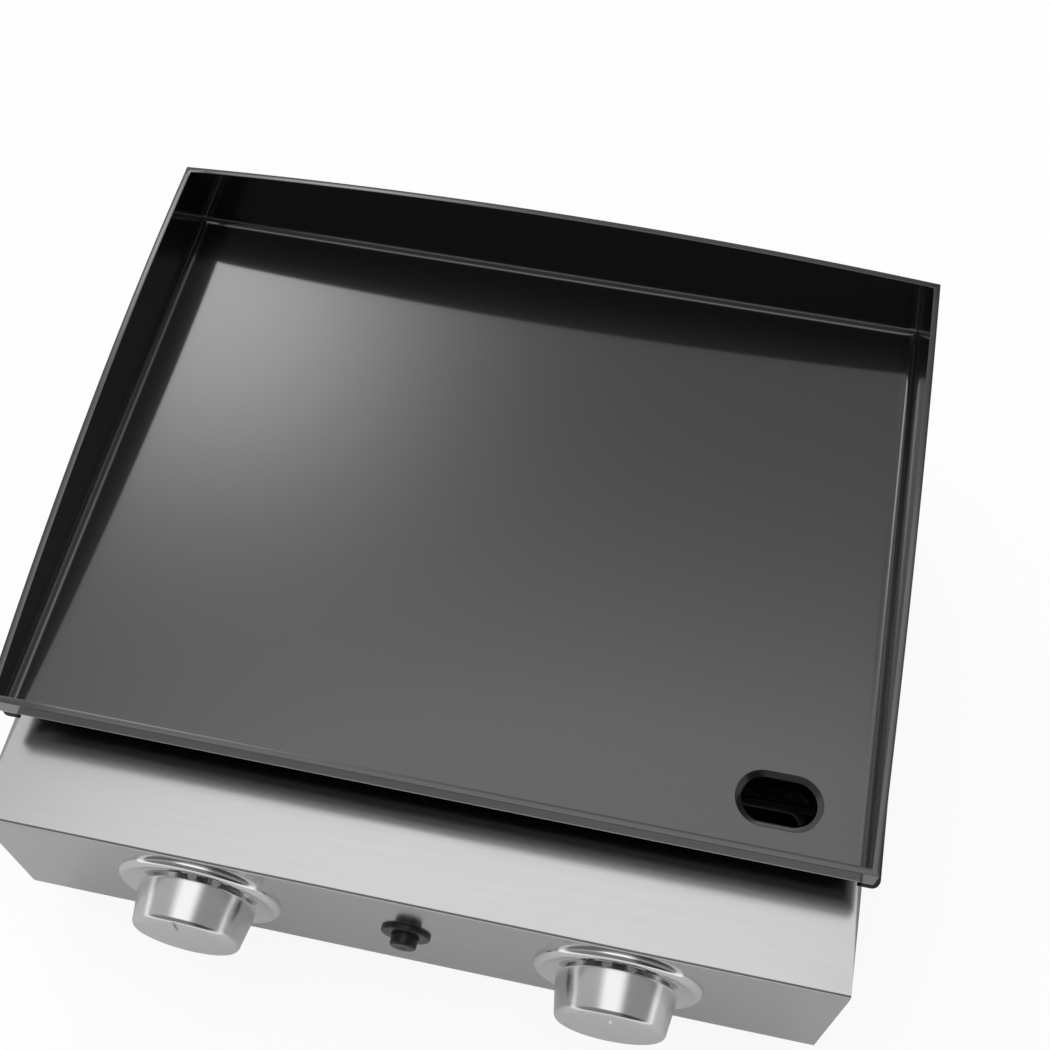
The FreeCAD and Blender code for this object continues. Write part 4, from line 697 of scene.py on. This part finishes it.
def makeSpout(spec, hole):
    low, high = corner("drain_spout")
    sheet, depth, taper = spec["sheet"], spec["depth"], spec["taper"]
    inner, outer = spec["step"], spec["step"] + sheet
    wide = outer + spec["flange"]
    lean = taper * sheet / depth
    outline = filleted([
        (inner, 0, 0.3 * mm), (wide, 0, 0.2 * mm), (wide, -sheet, 0.3 * mm),
        (outer - lean, -sheet, 0.6 * mm), (outer - taper, -depth, 0.3 * mm),
        (inner - taper, -depth, 0.3 * mm)], True, 3)
    angle = np.arange(spec["columns"]) / spec["columns"] * fullTurn
    direction = np.stack([np.cos(angle), np.sin(angle)], axis=1)
    centre = (low[:2] + high[:2]) / 2
    rows = [flatRing(holeRing(hole, centre, direction, growth), high[2] + drop) for growth, drop in outline]
    makePiece("drainSpout", "drain_spout", [shellOf(np.array(rows))])


makeSpout(spout, plate)


# grease cup: rounded rectangles at an inset from the rim's edge, and a folded pull tab
cup = {
    "length": 63.0 * mm, "width": 39.0 * mm, "depth": 38.0 * mm, "sheet": 1.0 * mm, "rim": 3.0 * mm,
    "corner": 10.0 * mm, "draft": math.radians(2.5), "floorRound": 4.0 * mm, "cornerSteps": 10,
    "tabWidth": 24.0 * mm, "tabDrop": 14.0 * mm, "tabBend": 1.5 * mm, "tabSink": 0.05 * mm,
    "tabEdge": 0.2 * mm,
}


def roundedRectangle(centre, halfX, halfY, radius, steps):
    # quarter circles round the four corner centres, joined by straight sides
    quarter = np.arange(4)[:, None] * math.pi / 2 + np.linspace(0, math.pi / 2, steps)[None, :]
    signX, signY = np.array([1, -1, -1, 1])[:, None], np.array([1, 1, -1, -1])[:, None]
    x = centre[0] + signX * (halfX - radius) + radius * np.cos(quarter)
    y = centre[1] + signY * (halfY - radius) + radius * np.sin(quarter)
    return np.stack([x.ravel(), y.ravel()], axis=1)


def foldedStrip(path, thickness, low, high, edge):
    # a bent strip: its midline's two offset lines make a loop in XZ, which is carried along Y and drawn
    # together at both ends
    run = np.gradient(path, axis=0)
    run /= np.hypot(*run.T)[:, None]
    normal = np.stack([-run[:, 1], run[:, 0]], axis=1)
    rows = []
    for y, half in ((low, 0), (low, thickness / 2 - edge), (low + edge, thickness / 2),
                    (high - edge, thickness / 2), (high, thickness / 2 - edge), (high, 0)):
        loop = np.concatenate([path + normal * half, (path - normal * half)[::-1]])
        rows.append(np.column_stack([loop[:, 0], np.full(len(loop), y), loop[:, 1]]))
    return shellOf(np.array(rows), False)


def makeCup(spec):
    low, high = corner("grease_cup")
    sheet, rim, top = spec["sheet"], spec["rim"], high[2]
    halfX, halfY = spec["length"] / 2, spec["width"] / 2
    centre = np.array([low[0] + halfX, low[1] + halfY])
    lean = spec["depth"] * math.tan(spec["draft"])
    floor = -spec["depth"]
    outline = filleted([
        (halfY, floor + sheet, 0), (rim + sheet + lean, floor + sheet, spec["floorRound"] - sheet),
        (rim + sheet, 0, 1.0 * mm), (0, 0, 0.4 * mm), (0, -sheet, 0.4 * mm), (rim, -sheet, 0.5 * mm),
        (rim + lean, floor, spec["floorRound"]), (halfY, floor, 0),
    ])
    rows = []
    for inset, z in outline:
        radius = max(spec["corner"] - inset, 0)
        ring = roundedRectangle(centre, halfX - inset, halfY - inset, radius, spec["cornerSteps"])
        rows.append(flatRing(ring, top + z))
    tabStart, tabEnd = low[0] + spec["length"] - sheet, high[0] - sheet / 2
    tabZ = top - sheet / 2 - spec["tabSink"]
    path = filleted([
        (tabStart, tabZ, 0), (tabEnd, tabZ, spec["tabBend"]), (tabEnd, top - spec["tabDrop"], 0)], steps=8)
    tabLow, tabHigh = centre[1] - spec["tabWidth"] / 2, centre[1] + spec["tabWidth"] / 2
    tab = foldedStrip(path, sheet - 2 * spec["tabSink"], tabLow, tabHigh, spec["tabEdge"])
    makePiece("greaseCup", "grease_cup", [shellOf(np.array(rows), False), tab])


makeCup(cup)
print("cup and spout made")


# knobs and bezels, on the leaning panel: height is measured outwards from its front face
knob = {
    "gap": 4.2 * mm, "length": 22.0 * mm, "radius": 31.4 * mm, "frontRadius": 28.4 * mm, "edge": 3.5 * mm,
    "dome": 1.2 * mm, "wall": 2.4 * mm, "hub": 9.0 * mm, "hubGap": 1.0 * mm, "bore": 4.05 * mm,
    "boreEnd": 19.65 * mm,
    "mark": {
        "arms": 1, "between": 118, "width": 1.8 * mm, "start": 16.4 * mm, "end": 40.0 * mm,
        "depth": 0.8 * mm, "rowGap": 1.0 * mm,
    },
}
bezel = {
    "hole": 7.4 * mm, "sheet": 0.8 * mm, "flat": 27.0 * mm, "crest": 3.6 * mm, "roll": 3.4 * mm,
    "radius": 43.5 * mm, "rollBow": 1.1 * mm, "innerBow": 0.5 * mm, "sag": 0.5 * mm, "columns": 144,
    "smooth": 50.0,
}


def domeRows(radii, rim, rise, top):
    # (radius, height) rows over a spherical cap that stands rise over its rim and ends at top
    ball = (rim ** 2 + rise ** 2) / (2 * rise)
    return np.stack([radii, top - ball + np.sqrt(ball ** 2 - radii ** 2)], axis=1)


def knobProfile(spec):
    # from the bore's end down the hub, round the skirt, up the tapered side, over the edge and the dome
    gap, rounding = spec["gap"], spec["edge"]
    front = gap + spec["length"]
    rimRadius = spec["frontRadius"] - rounding
    roof = front - spec["wall"] - rounding / 2
    slope = (spec["radius"] - spec["frontRadius"]) / (spec["length"] - rounding)
    inner = spec["radius"] - spec["wall"]
    hubEnd = gap + spec["hubGap"]
    body = filleted([
        (0, spec["boreEnd"], 0), (spec["bore"], spec["boreEnd"], 0), (spec["bore"], hubEnd, 0.3 * mm),
        (spec["hub"], hubEnd, 0.5 * mm), (spec["hub"], roof, 1.0 * mm),
        (inner - slope * (roof - gap), roof, 1.5 * mm), (inner, gap, 0.4 * mm),
        (spec["radius"], gap, 0.5 * mm), (spec["frontRadius"], front - rounding, 0),
    ])
    bend = np.linspace(0, math.pi / 2, 15)[1:]
    edgeZ = front - rounding + rounding * np.sin(bend)
    edge = np.stack([rimRadius + rounding * np.cos(bend), edgeZ], axis=1)
    start = spec["mark"]["start"]
    outside = np.linspace(rimRadius, start + beside, 8)[1:]
    inside = np.linspace(start - spec["mark"]["rowGap"], 0, 12)
    radii = np.concatenate([outside, [start - beside], inside])
    dome = domeRows(radii, rimRadius, spec["dome"], front + spec["dome"])
    return np.concatenate([body, edge, dome])


def bezelProfile(spec):
    # flat ring, dished cone and rolled edge, and the same line one sheet lower on the way back
    sheet, flat, radius, sag = spec["sheet"], spec["flat"], spec["radius"], spec["sag"]
    crest = (radius - spec["roll"], spec["crest"])
    under = (crest[0], crest[1] - sheet)
    return np.concatenate([
        [(spec["hole"], 0), (spec["hole"], sheet)],
        bowed((flat, sheet), crest, -sag, 10),
        bowed(crest, (radius, 0), spec["rollBow"], 14),
        bowed((radius - sheet, 0), under, -spec["innerBow"]),
        bowed(under, (flat, 0), sag),
    ])


def makeKnobsAndBezels():
    floor = knob["gap"] + knob["length"] - knob["mark"]["depth"]
    mark = dict(knob["mark"], floor=floor, rise=0.0, turn=math.pi / 2)
    for side in ("left", "right"):
        joint = joints[side + "_knob_turn"]
        origin, axes = joint["pos_m"], axesAlong(joint["axis"])
        body = slottedTurning(knobProfile(knob), origin, axes, mark)
        makePiece(side + "Knob", "knob_" + side, [body])
        ring = turning(bezelProfile(bezel), origin, axes, True, bezel["columns"])
        makePiece(side + "Bezel", "bezel_" + side, [ring], bezel["smooth"])


makeKnobsAndBezels()
print("knobs and bezels made")


# igniter, on the panel between the knobs
igniter = {
    "flange": 13.0 * mm, "flangeThick": 2.0 * mm, "nose": 9.0 * mm, "noseEnd": 15.0 * mm, "body": 11.0 * mm,
    "bodyEnd": 51.0 * mm, "bore": 7.3 * mm, "boreDepth": 18.0 * mm,
    "terminal": 1.6 * mm, "terminalEnd": 57.0 * mm, "terminalSpacing": 10.0 * mm, "terminalSink": 0.1 * mm,
    "button": 7.0 * mm, "buttonTop": 8.0 * mm, "buttonEnd": 12.0 * mm, "buttonEdge": 1.5 * mm,
    "dish": 0.5 * mm, "dishShare": 0.6,
    "thread": {"pitch": 1.5 * mm, "depth": 0.5 * mm, "start": 1.0 * mm},
}


def ladder(radius, start, end, step):
    # rows of one radius from one height to another, close enough together to carry a thread
    heights = np.linspace(start, end, max(int(abs(end - start) / step), 2))
    return np.stack([np.full_like(heights, radius), heights], axis=1)


def makeIgniter(spec):
    joint = joints["igniter_press"]
    origin, axes = np.array(joint["pos_m"]), axesAlong(-np.array(joint["axis"]))
    bore, deep, thick, nose = spec["bore"], -spec["boreDepth"], spec["flangeThick"], spec["nose"]
    noseEnd, bodyEnd = -spec["noseEnd"], -spec["bodyEnd"]
    flange = filleted([
        (bore, deep, 0), (bore, thick, 0.5 * mm), (spec["flange"], thick, 1.2 * mm), (spec["flange"], 0, 0),
        (nose, 0, 0)])
    shaft = ladder(nose, -spec["thread"]["start"], noseEnd, spec["thread"]["pitch"] / 4)
    body = filleted([
        (nose, noseEnd, 0), (spec["body"], noseEnd, 0.6 * mm), (spec["body"], bodyEnd, 0.8 * mm),
        (0, bodyEnd, 0)])
    profile = np.concatenate([[(0, deep)], flange, shaft, body])
    shells = [turning(profile, origin, axes, False, 96, thread=dict(spec["thread"], radius=nose))]
    pin, pinStart, pinEnd = spec["terminal"], bodyEnd + spec["terminalSink"], -spec["terminalEnd"]
    pin = filleted([(0, pinStart, 0), (pin, pinStart, 0), (pin, pinEnd, 0.4 * mm), (0, pinEnd, 0)])
    for side in (-0.5, 0.5):
        shells.append(turning(pin, origin + axes[0] * side * spec["terminalSpacing"], axes, False, 24))
    makePiece("igniterBody", "igniter_body", shells)

    # the button's dish falls by the squared cosine of a quarter turn over its radius
    button, top, end = spec["button"], spec["buttonTop"], -spec["buttonEnd"]
    dishRadius = button * spec["dishShare"]
    rim = filleted([
        (0, end, 0), (button, end, 0.3 * mm), (button, top, spec["buttonEdge"]), (dishRadius, top, 0),
    ], steps=8)
    radii = np.linspace(dishRadius, 0, 10)[1:]
    depth = spec["dish"] * np.cos(radii / radii[0] * math.pi / 2) ** 2
    profile = np.concatenate([rim, np.stack([radii, top - depth], axis=1)])
    makePiece("igniterButton", "igniter_button", [turning(profile, origin, axes, False)])


makeIgniter(igniter)


# screws: domed head with a cross recess over a threaded shank, on every spot where the model has one
crossHead = {
    "sheetScrew": {"head": 3.6 * mm, "height": 2.2 * mm, "shank": 2.0 * mm, "pitch": 0.9 * mm},
    "footScrew": {"head": 4.8 * mm, "height": 3.0 * mm, "shank": 2.5 * mm, "pitch": 0.8 * mm},
    "slotWidth": 0.26, "slotReach": 0.56, "slotDepth": 0.62, "slotRise": 0.35, "threadDepth": 0.12,
}
valveScrews = {"offset": 16.0 * mm, "grip": 3.0 * mm}
screwGroups = {
    "foot_screws": (0, 0, -1), "panel_screws": (0, 0, -1), "back_screws": (0, 1, 0),
    "hanger_screws": (1, 0, 0), "tray_screws": (0, 0, 1), "baffle_screws": (0, 0, 1),
    "bracket_screws": (0, 0, 1),
}


def screwShell(spec, origin, axes, grip, turn):
    # shank from its tip up to the head's seat, the head's side, then a dome; the recess gets deeper inwards
    head, height, shank = spec["head"], spec["height"], spec["shank"]
    reach = head * crossHead["slotReach"]
    rows = ladder(shank, -grip + shank / 2, 0, spec["pitch"] / 2)
    rows[1:-1:2, 0] -= shank * crossHead["threadDepth"]
    radii = np.concatenate([np.linspace(head, reach + beside, 5), np.linspace(reach - beside, 0, 7)])
    dome = domeRows(radii, head, height / 2, height)
    profile = np.concatenate([[(0, -grip), (shank / 2, -grip)], rows, [(head, 0)], dome])
    slot = {
        "arms": 4, "width": head * crossHead["slotWidth"], "start": 0.0, "end": reach, "between": 4,
        "floor": height * (1 - crossHead["slotDepth"]), "rise": crossHead["slotRise"] * height / reach,
        "turn": turn,
    }
    return slottedTurning(profile, origin, axes, slot)


def makeScrews():
    random = np.random.default_rng(7)
    for node, outward in screwGroups.items():
        spec = crossHead["footScrew" if node == "foot_screws" else "sheetScrew"]
        outward = np.array(outward, dtype=float)
        axes = axesAlong(outward, (0, 1, 0) if outward[0] else (1, 0, 0))
        shells = []
        for low, high in solidsOf(node):
            headEnd = np.where(outward > 0, high, low)
            top = np.where(outward == 0, (low + high) / 2, headEnd)
            grip = abs((high - low) @ outward) - spec["height"]
            turn = random.uniform(0, math.pi / 2)
            shells.append(screwShell(spec, top - outward * spec["height"], axes, grip, turn))
        makePiece(node + ".crossHead", node, shells)
    spec, shells = crossHead["sheetScrew"], []
    grip = bezel["sheet"] + valveScrews["grip"]
    for side in ("left", "right"):
        joint = joints[side + "_knob_turn"]
        axes = axesAlong(joint["axis"])
        for offset in (-valveScrews["offset"], valveScrews["offset"]):
            origin = np.array(joint["pos_m"]) + axes[0] * offset + axes[2] * bezel["sheet"]
            shells.append(screwShell(spec, origin, axes, grip, random.uniform(0, math.pi / 2)))
    makePiece("valve_screws.crossHead", "valve_screws", shells)


makeScrews()
print("screws made")


# feet, nuts, studs and the gas inlet
foot = {
    "bottom": 12.5 * mm, "top": 15.0 * mm, "recess": 6.5 * mm, "recessDepth": 14.0 * mm, "bore": 2.65 * mm,
}
footNut = {"across": 8.0 * mm, "bore": 2.55 * mm}
stud = {"shoulder": 6.0 * mm, "pin": 3.0 * mm, "pinLength": 8.0 * mm}
lockNut = {"across": 24.0 * mm, "bore": 9.05 * mm}
inlet = {
    "stub": 6.75 * mm, "stubLength": 6.0 * mm, "across": 21.0 * mm, "hexLength": 7.0 * mm,
    "bulkhead": 9.0 * mm, "bulkheadLength": 8.2 * mm, "bevel": 0.4 * mm, "relief": 7.1 * mm,
    "threadLength": 15.0 * mm, "bore": 4.0 * mm, "seat": 1.0 * mm, "cone": 2.5 * mm,
    "thread": {"radius": 7.94 * mm, "pitch": 1.41 * mm, "depth": 0.75 * mm},
}
hexEnd = {"narrow": 0.96, "slope": math.radians(30)}


def hexProfile(across, start, end):
    # outer line of a hexagonal bar with both ends turned off to a chamfer
    wide, narrow = across / math.sqrt(3), across / 2 * hexEnd["narrow"]
    chamfer = (wide - narrow) * math.tan(hexEnd["slope"])
    share = np.linspace(0, 1, 5)
    first = np.stack([narrow + (wide - narrow) * share, start + chamfer * share], axis=1)
    last = np.stack([wide + (narrow - wide) * share, end - chamfer + chamfer * share], axis=1)
    return np.concatenate([first, last])


def nutRows(spec, length):
    bore = spec["bore"]
    return np.concatenate([[(bore, length), (bore, 0)], hexProfile(spec["across"], 0, length)])


def footRows(spec, height):
    recess, bore, deep = spec["recess"], spec["bore"], spec["recessDepth"]
    return filleted([
        (recess, 0, 0.6 * mm), (spec["bottom"], 0, 1.5 * mm), (spec["top"], height, 0.7 * mm),
        (bore, height, 0), (bore, deep, 0), (recess, deep, 0.5 * mm)], True)


def studRows(spec, height):
    pin, shoulder, step = spec["pin"], spec["shoulder"], spec["pinLength"]
    return filleted([
        (0, 0, 0), (pin, 0, 0.8 * mm), (pin, step, 0.2 * mm), (shoulder, step, 0.4 * mm),
        (shoulder, height, 0), (0, height, 0)])


def inletRows(spec, _):
    bore, bulkhead, relief, bevel = spec["bore"], spec["bulkhead"], spec["relief"], spec["bevel"]
    radius, pitch = spec["thread"]["radius"], spec["thread"]["pitch"]
    hexStart = spec["stubLength"]
    hexStop = hexStart + spec["hexLength"]
    threadStart = hexStop + spec["bulkheadLength"]
    threadEnd = threadStart + spec["threadLength"]
    seat = threadEnd + spec["cone"]
    return np.concatenate([
        [(bore, seat), (bore, 0), (spec["stub"], 0), (spec["stub"], hexStart)],
        hexProfile(spec["across"], hexStart, hexStop),
        [(bulkhead, hexStop), (bulkhead, threadStart - bevel), (bulkhead - bevel, threadStart)],
        [(relief, threadStart), (relief, threadStart + pitch)],
        ladder(radius, threadStart + pitch, threadEnd, pitch / 6),
        [(bore + spec["seat"], seat)],
    ])


def turnEach(name, node, rowsOf, spec, along, closed=True, columns=72):
    # a turned bar in place of each solid of a node, from the middle of the solid's low end along an axis
    axes, shells = axesAlong(np.eye(3)[along]), []
    for low, high in solidsOf(node):
        origin = (low + high) / 2
        origin[along] = low[along]
        rows = rowsOf(spec, high[along] - low[along])
        shells.append(turning(rows, origin, axes, closed, columns, spec.get("across"), spec.get("thread")))
    makePiece(name, node, shells)


turnEach("rubberFeet", "rubber_feet", footRows, foot, 2)
turnEach("footNuts", "foot_nuts", nutRows, footNut, 2)
turnEach("locatingStuds", "locating_studs", studRows, stud, 2, False, 48)
turnEach("gasInlet", "inlet_fitting", inletRows, inlet, 1)
turnEach("inletLockNut", "inlet_locknut", nutRows, lockNut, 1)
print("feet, studs and inlet made")


# pieces that keep their CAD shape, with smooth bends and flat faces
def smoothCopy(node):
    piece = cadNodes[node].copy()
    piece.data = cadNodes[node].data.copy()
    piece.name = node + ".finished"
    piece.parent = None
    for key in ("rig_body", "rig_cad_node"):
        if key in piece:
            del piece[key]
    bpy.context.scene.collection.objects.link(piece)
    mergeAndTurn(piece.data, False)
    smoothUpTo(piece.data, smoothAngle)
    weighted = piece.modifiers.new("flatFaces", "WEIGHTED_NORMAL")
    weighted.keep_sharp = True
    weighted.weight = 100
    dress(piece, node)


others = sorted(set(cadNodes) - dressed)
for node in others:
    smoothCopy(node)
print("pieces with their CAD shape:", len(others))


# studio
studio = {
    "floorHalf": 6.0, "floorTone": 0.92, "floorDrift": 0.02,
    "floorWhite": 0.8, "floorInMetal": 0.17, "floorGlow": 1.12,
    "horizon": {"low": 0.1, "high": 0.35, "level": 1.1},
    "dome": {"front": 0.22, "back": 0.5, "start": -0.3, "end": 0.1},
    "panel": {
        "strength": 2.175, "top": 1.245, "frontEdge": -0.36, "depth": 0.6, "leftEdge": -0.6, "width": 0.6,
    },
    "right": {"start": 0.12, "end": 0.42, "share": 0.25},
    "glow": {"toward": (-0.332, 0.557, 0.761), "spread": 7.5, "strength": 3.2},
}


def makeFloor(spec):
    # pale floor; the camera, and polished metal less so, see it partly white, so its shadow stays soft
    half = spec["floorHalf"]
    corners = [(x * half, y * half, 0) for x, y in ((-1, -1), (1, -1), (1, 1), (-1, 1))]
    mesh = bpy.data.meshes.new("floor")
    mesh.from_pydata(corners, [], [(0, 1, 2, 3)])
    floor = placed("floor", mesh)
    material, tree, shader, place = newMaterial("paleFloor", Roughness=0.9, Specular_IOR_Level=0.1)
    low, high = grey(spec["floorTone"]), grey(spec["floorTone"] + spec["floorDrift"])
    tone = mixIn(tree, noiseIn(tree, place, 3.0), low, high)
    tree.links.new(tone, shader.inputs["Base Color"])
    white = nodeIn(tree, "Emission", {"Color": grey(1.0), "Strength": spec["floorGlow"]})
    path = nodeIn(tree, "LightPath")
    share = mathIn(tree, "ADD", mathIn(tree, "MULTIPLY", path.outputs["Is Camera Ray"], spec["floorWhite"]),
                   mathIn(tree, "MULTIPLY", path.outputs["Is Glossy Ray"], spec["floorInMetal"]))
    seen = nodeIn(tree, "MixShader", {0: share, 1: shader.outputs[0], 2: white.outputs[0]})
    tree.links.new(seen.outputs[0], tree.nodes["Material Output"].inputs["Surface"])
    floor.data.materials.append(material)


def makeSky(spec):
    # light by direction: pale round the horizon, a dome that is brighter at the back, a level panel
    # overhead that thins out to the front, back and left, both dimmer on the right, and a glow behind on
    # the left that falls by the exponential of the cosine of the angle from it; the camera sees plain white
    world = bpy.data.worlds.new("studioSky")
    bpy.context.scene.world = world
    world.use_nodes = True
    tree = world.node_tree
    direction = nodeIn(tree, "TexCoord").outputs["Generated"]
    across, back, height = nodeIn(tree, "SeparateXYZ", {0: direction}).outputs
    dome, panel, right = spec["dome"], spec["panel"], spec["right"]
    glow, horizon = spec["glow"], spec["horizon"]
    soft = "SMOOTHSTEP"
    sky = rangeIn(tree, back, dome["start"], dome["end"], dome["front"], dome["back"], soft)
    sheet = rangeIn(tree, back, 0.0, panel["depth"], panel["strength"], 0.0, soft)
    leftEnd = panel["leftEdge"] + panel["width"]
    for value, start, end in (
            (back, panel["frontEdge"], 0.0), (across, panel["leftEdge"], leftEnd),
            (height, horizon["low"], horizon["high"])):
        sheet = mathIn(tree, "MULTIPLY", sheet, rangeIn(tree, value, start, end, 0.0, 1.0, soft))
    level = mathIn(tree, "MINIMUM", mathIn(tree, "ADD", sky, sheet), panel["top"])
    dimmer = rangeIn(tree, across, right["start"], right["end"], 1.0, right["share"], soft)
    level = mathIn(tree, "MULTIPLY", level, dimmer)
    pale = rangeIn(tree, height, horizon["low"], horizon["high"], horizon["level"], 0.0, soft)
    level = mathIn(tree, "MAXIMUM", level, pale)
    nearness = dotIn(tree, direction, np.array(glow["toward"]) / np.linalg.norm(glow["toward"]))
    width = 1 - math.cos(math.radians(glow["spread"]))
    fall = mathIn(tree, "EXPONENT", mathIn(tree, "DIVIDE", mathIn(tree, "SUBTRACT", nearness, 1.0), width))
    level = mathIn(tree, "ADD", level, mathIn(tree, "MULTIPLY", fall, glow["strength"]))
    seen = nodeIn(tree, "LightPath").outputs["Is Camera Ray"]
    strength = nodeIn(tree, "Mix", {0: seen, 2: level, 3: 1.0}).outputs[0]
    tree.links.new(strength, tree.nodes["Background"].inputs["Strength"])
    tree.nodes["Background"].inputs["Color"].default_value = grey(1.0)


makeFloor(studio)
makeSky(studio)
print("studio ready")
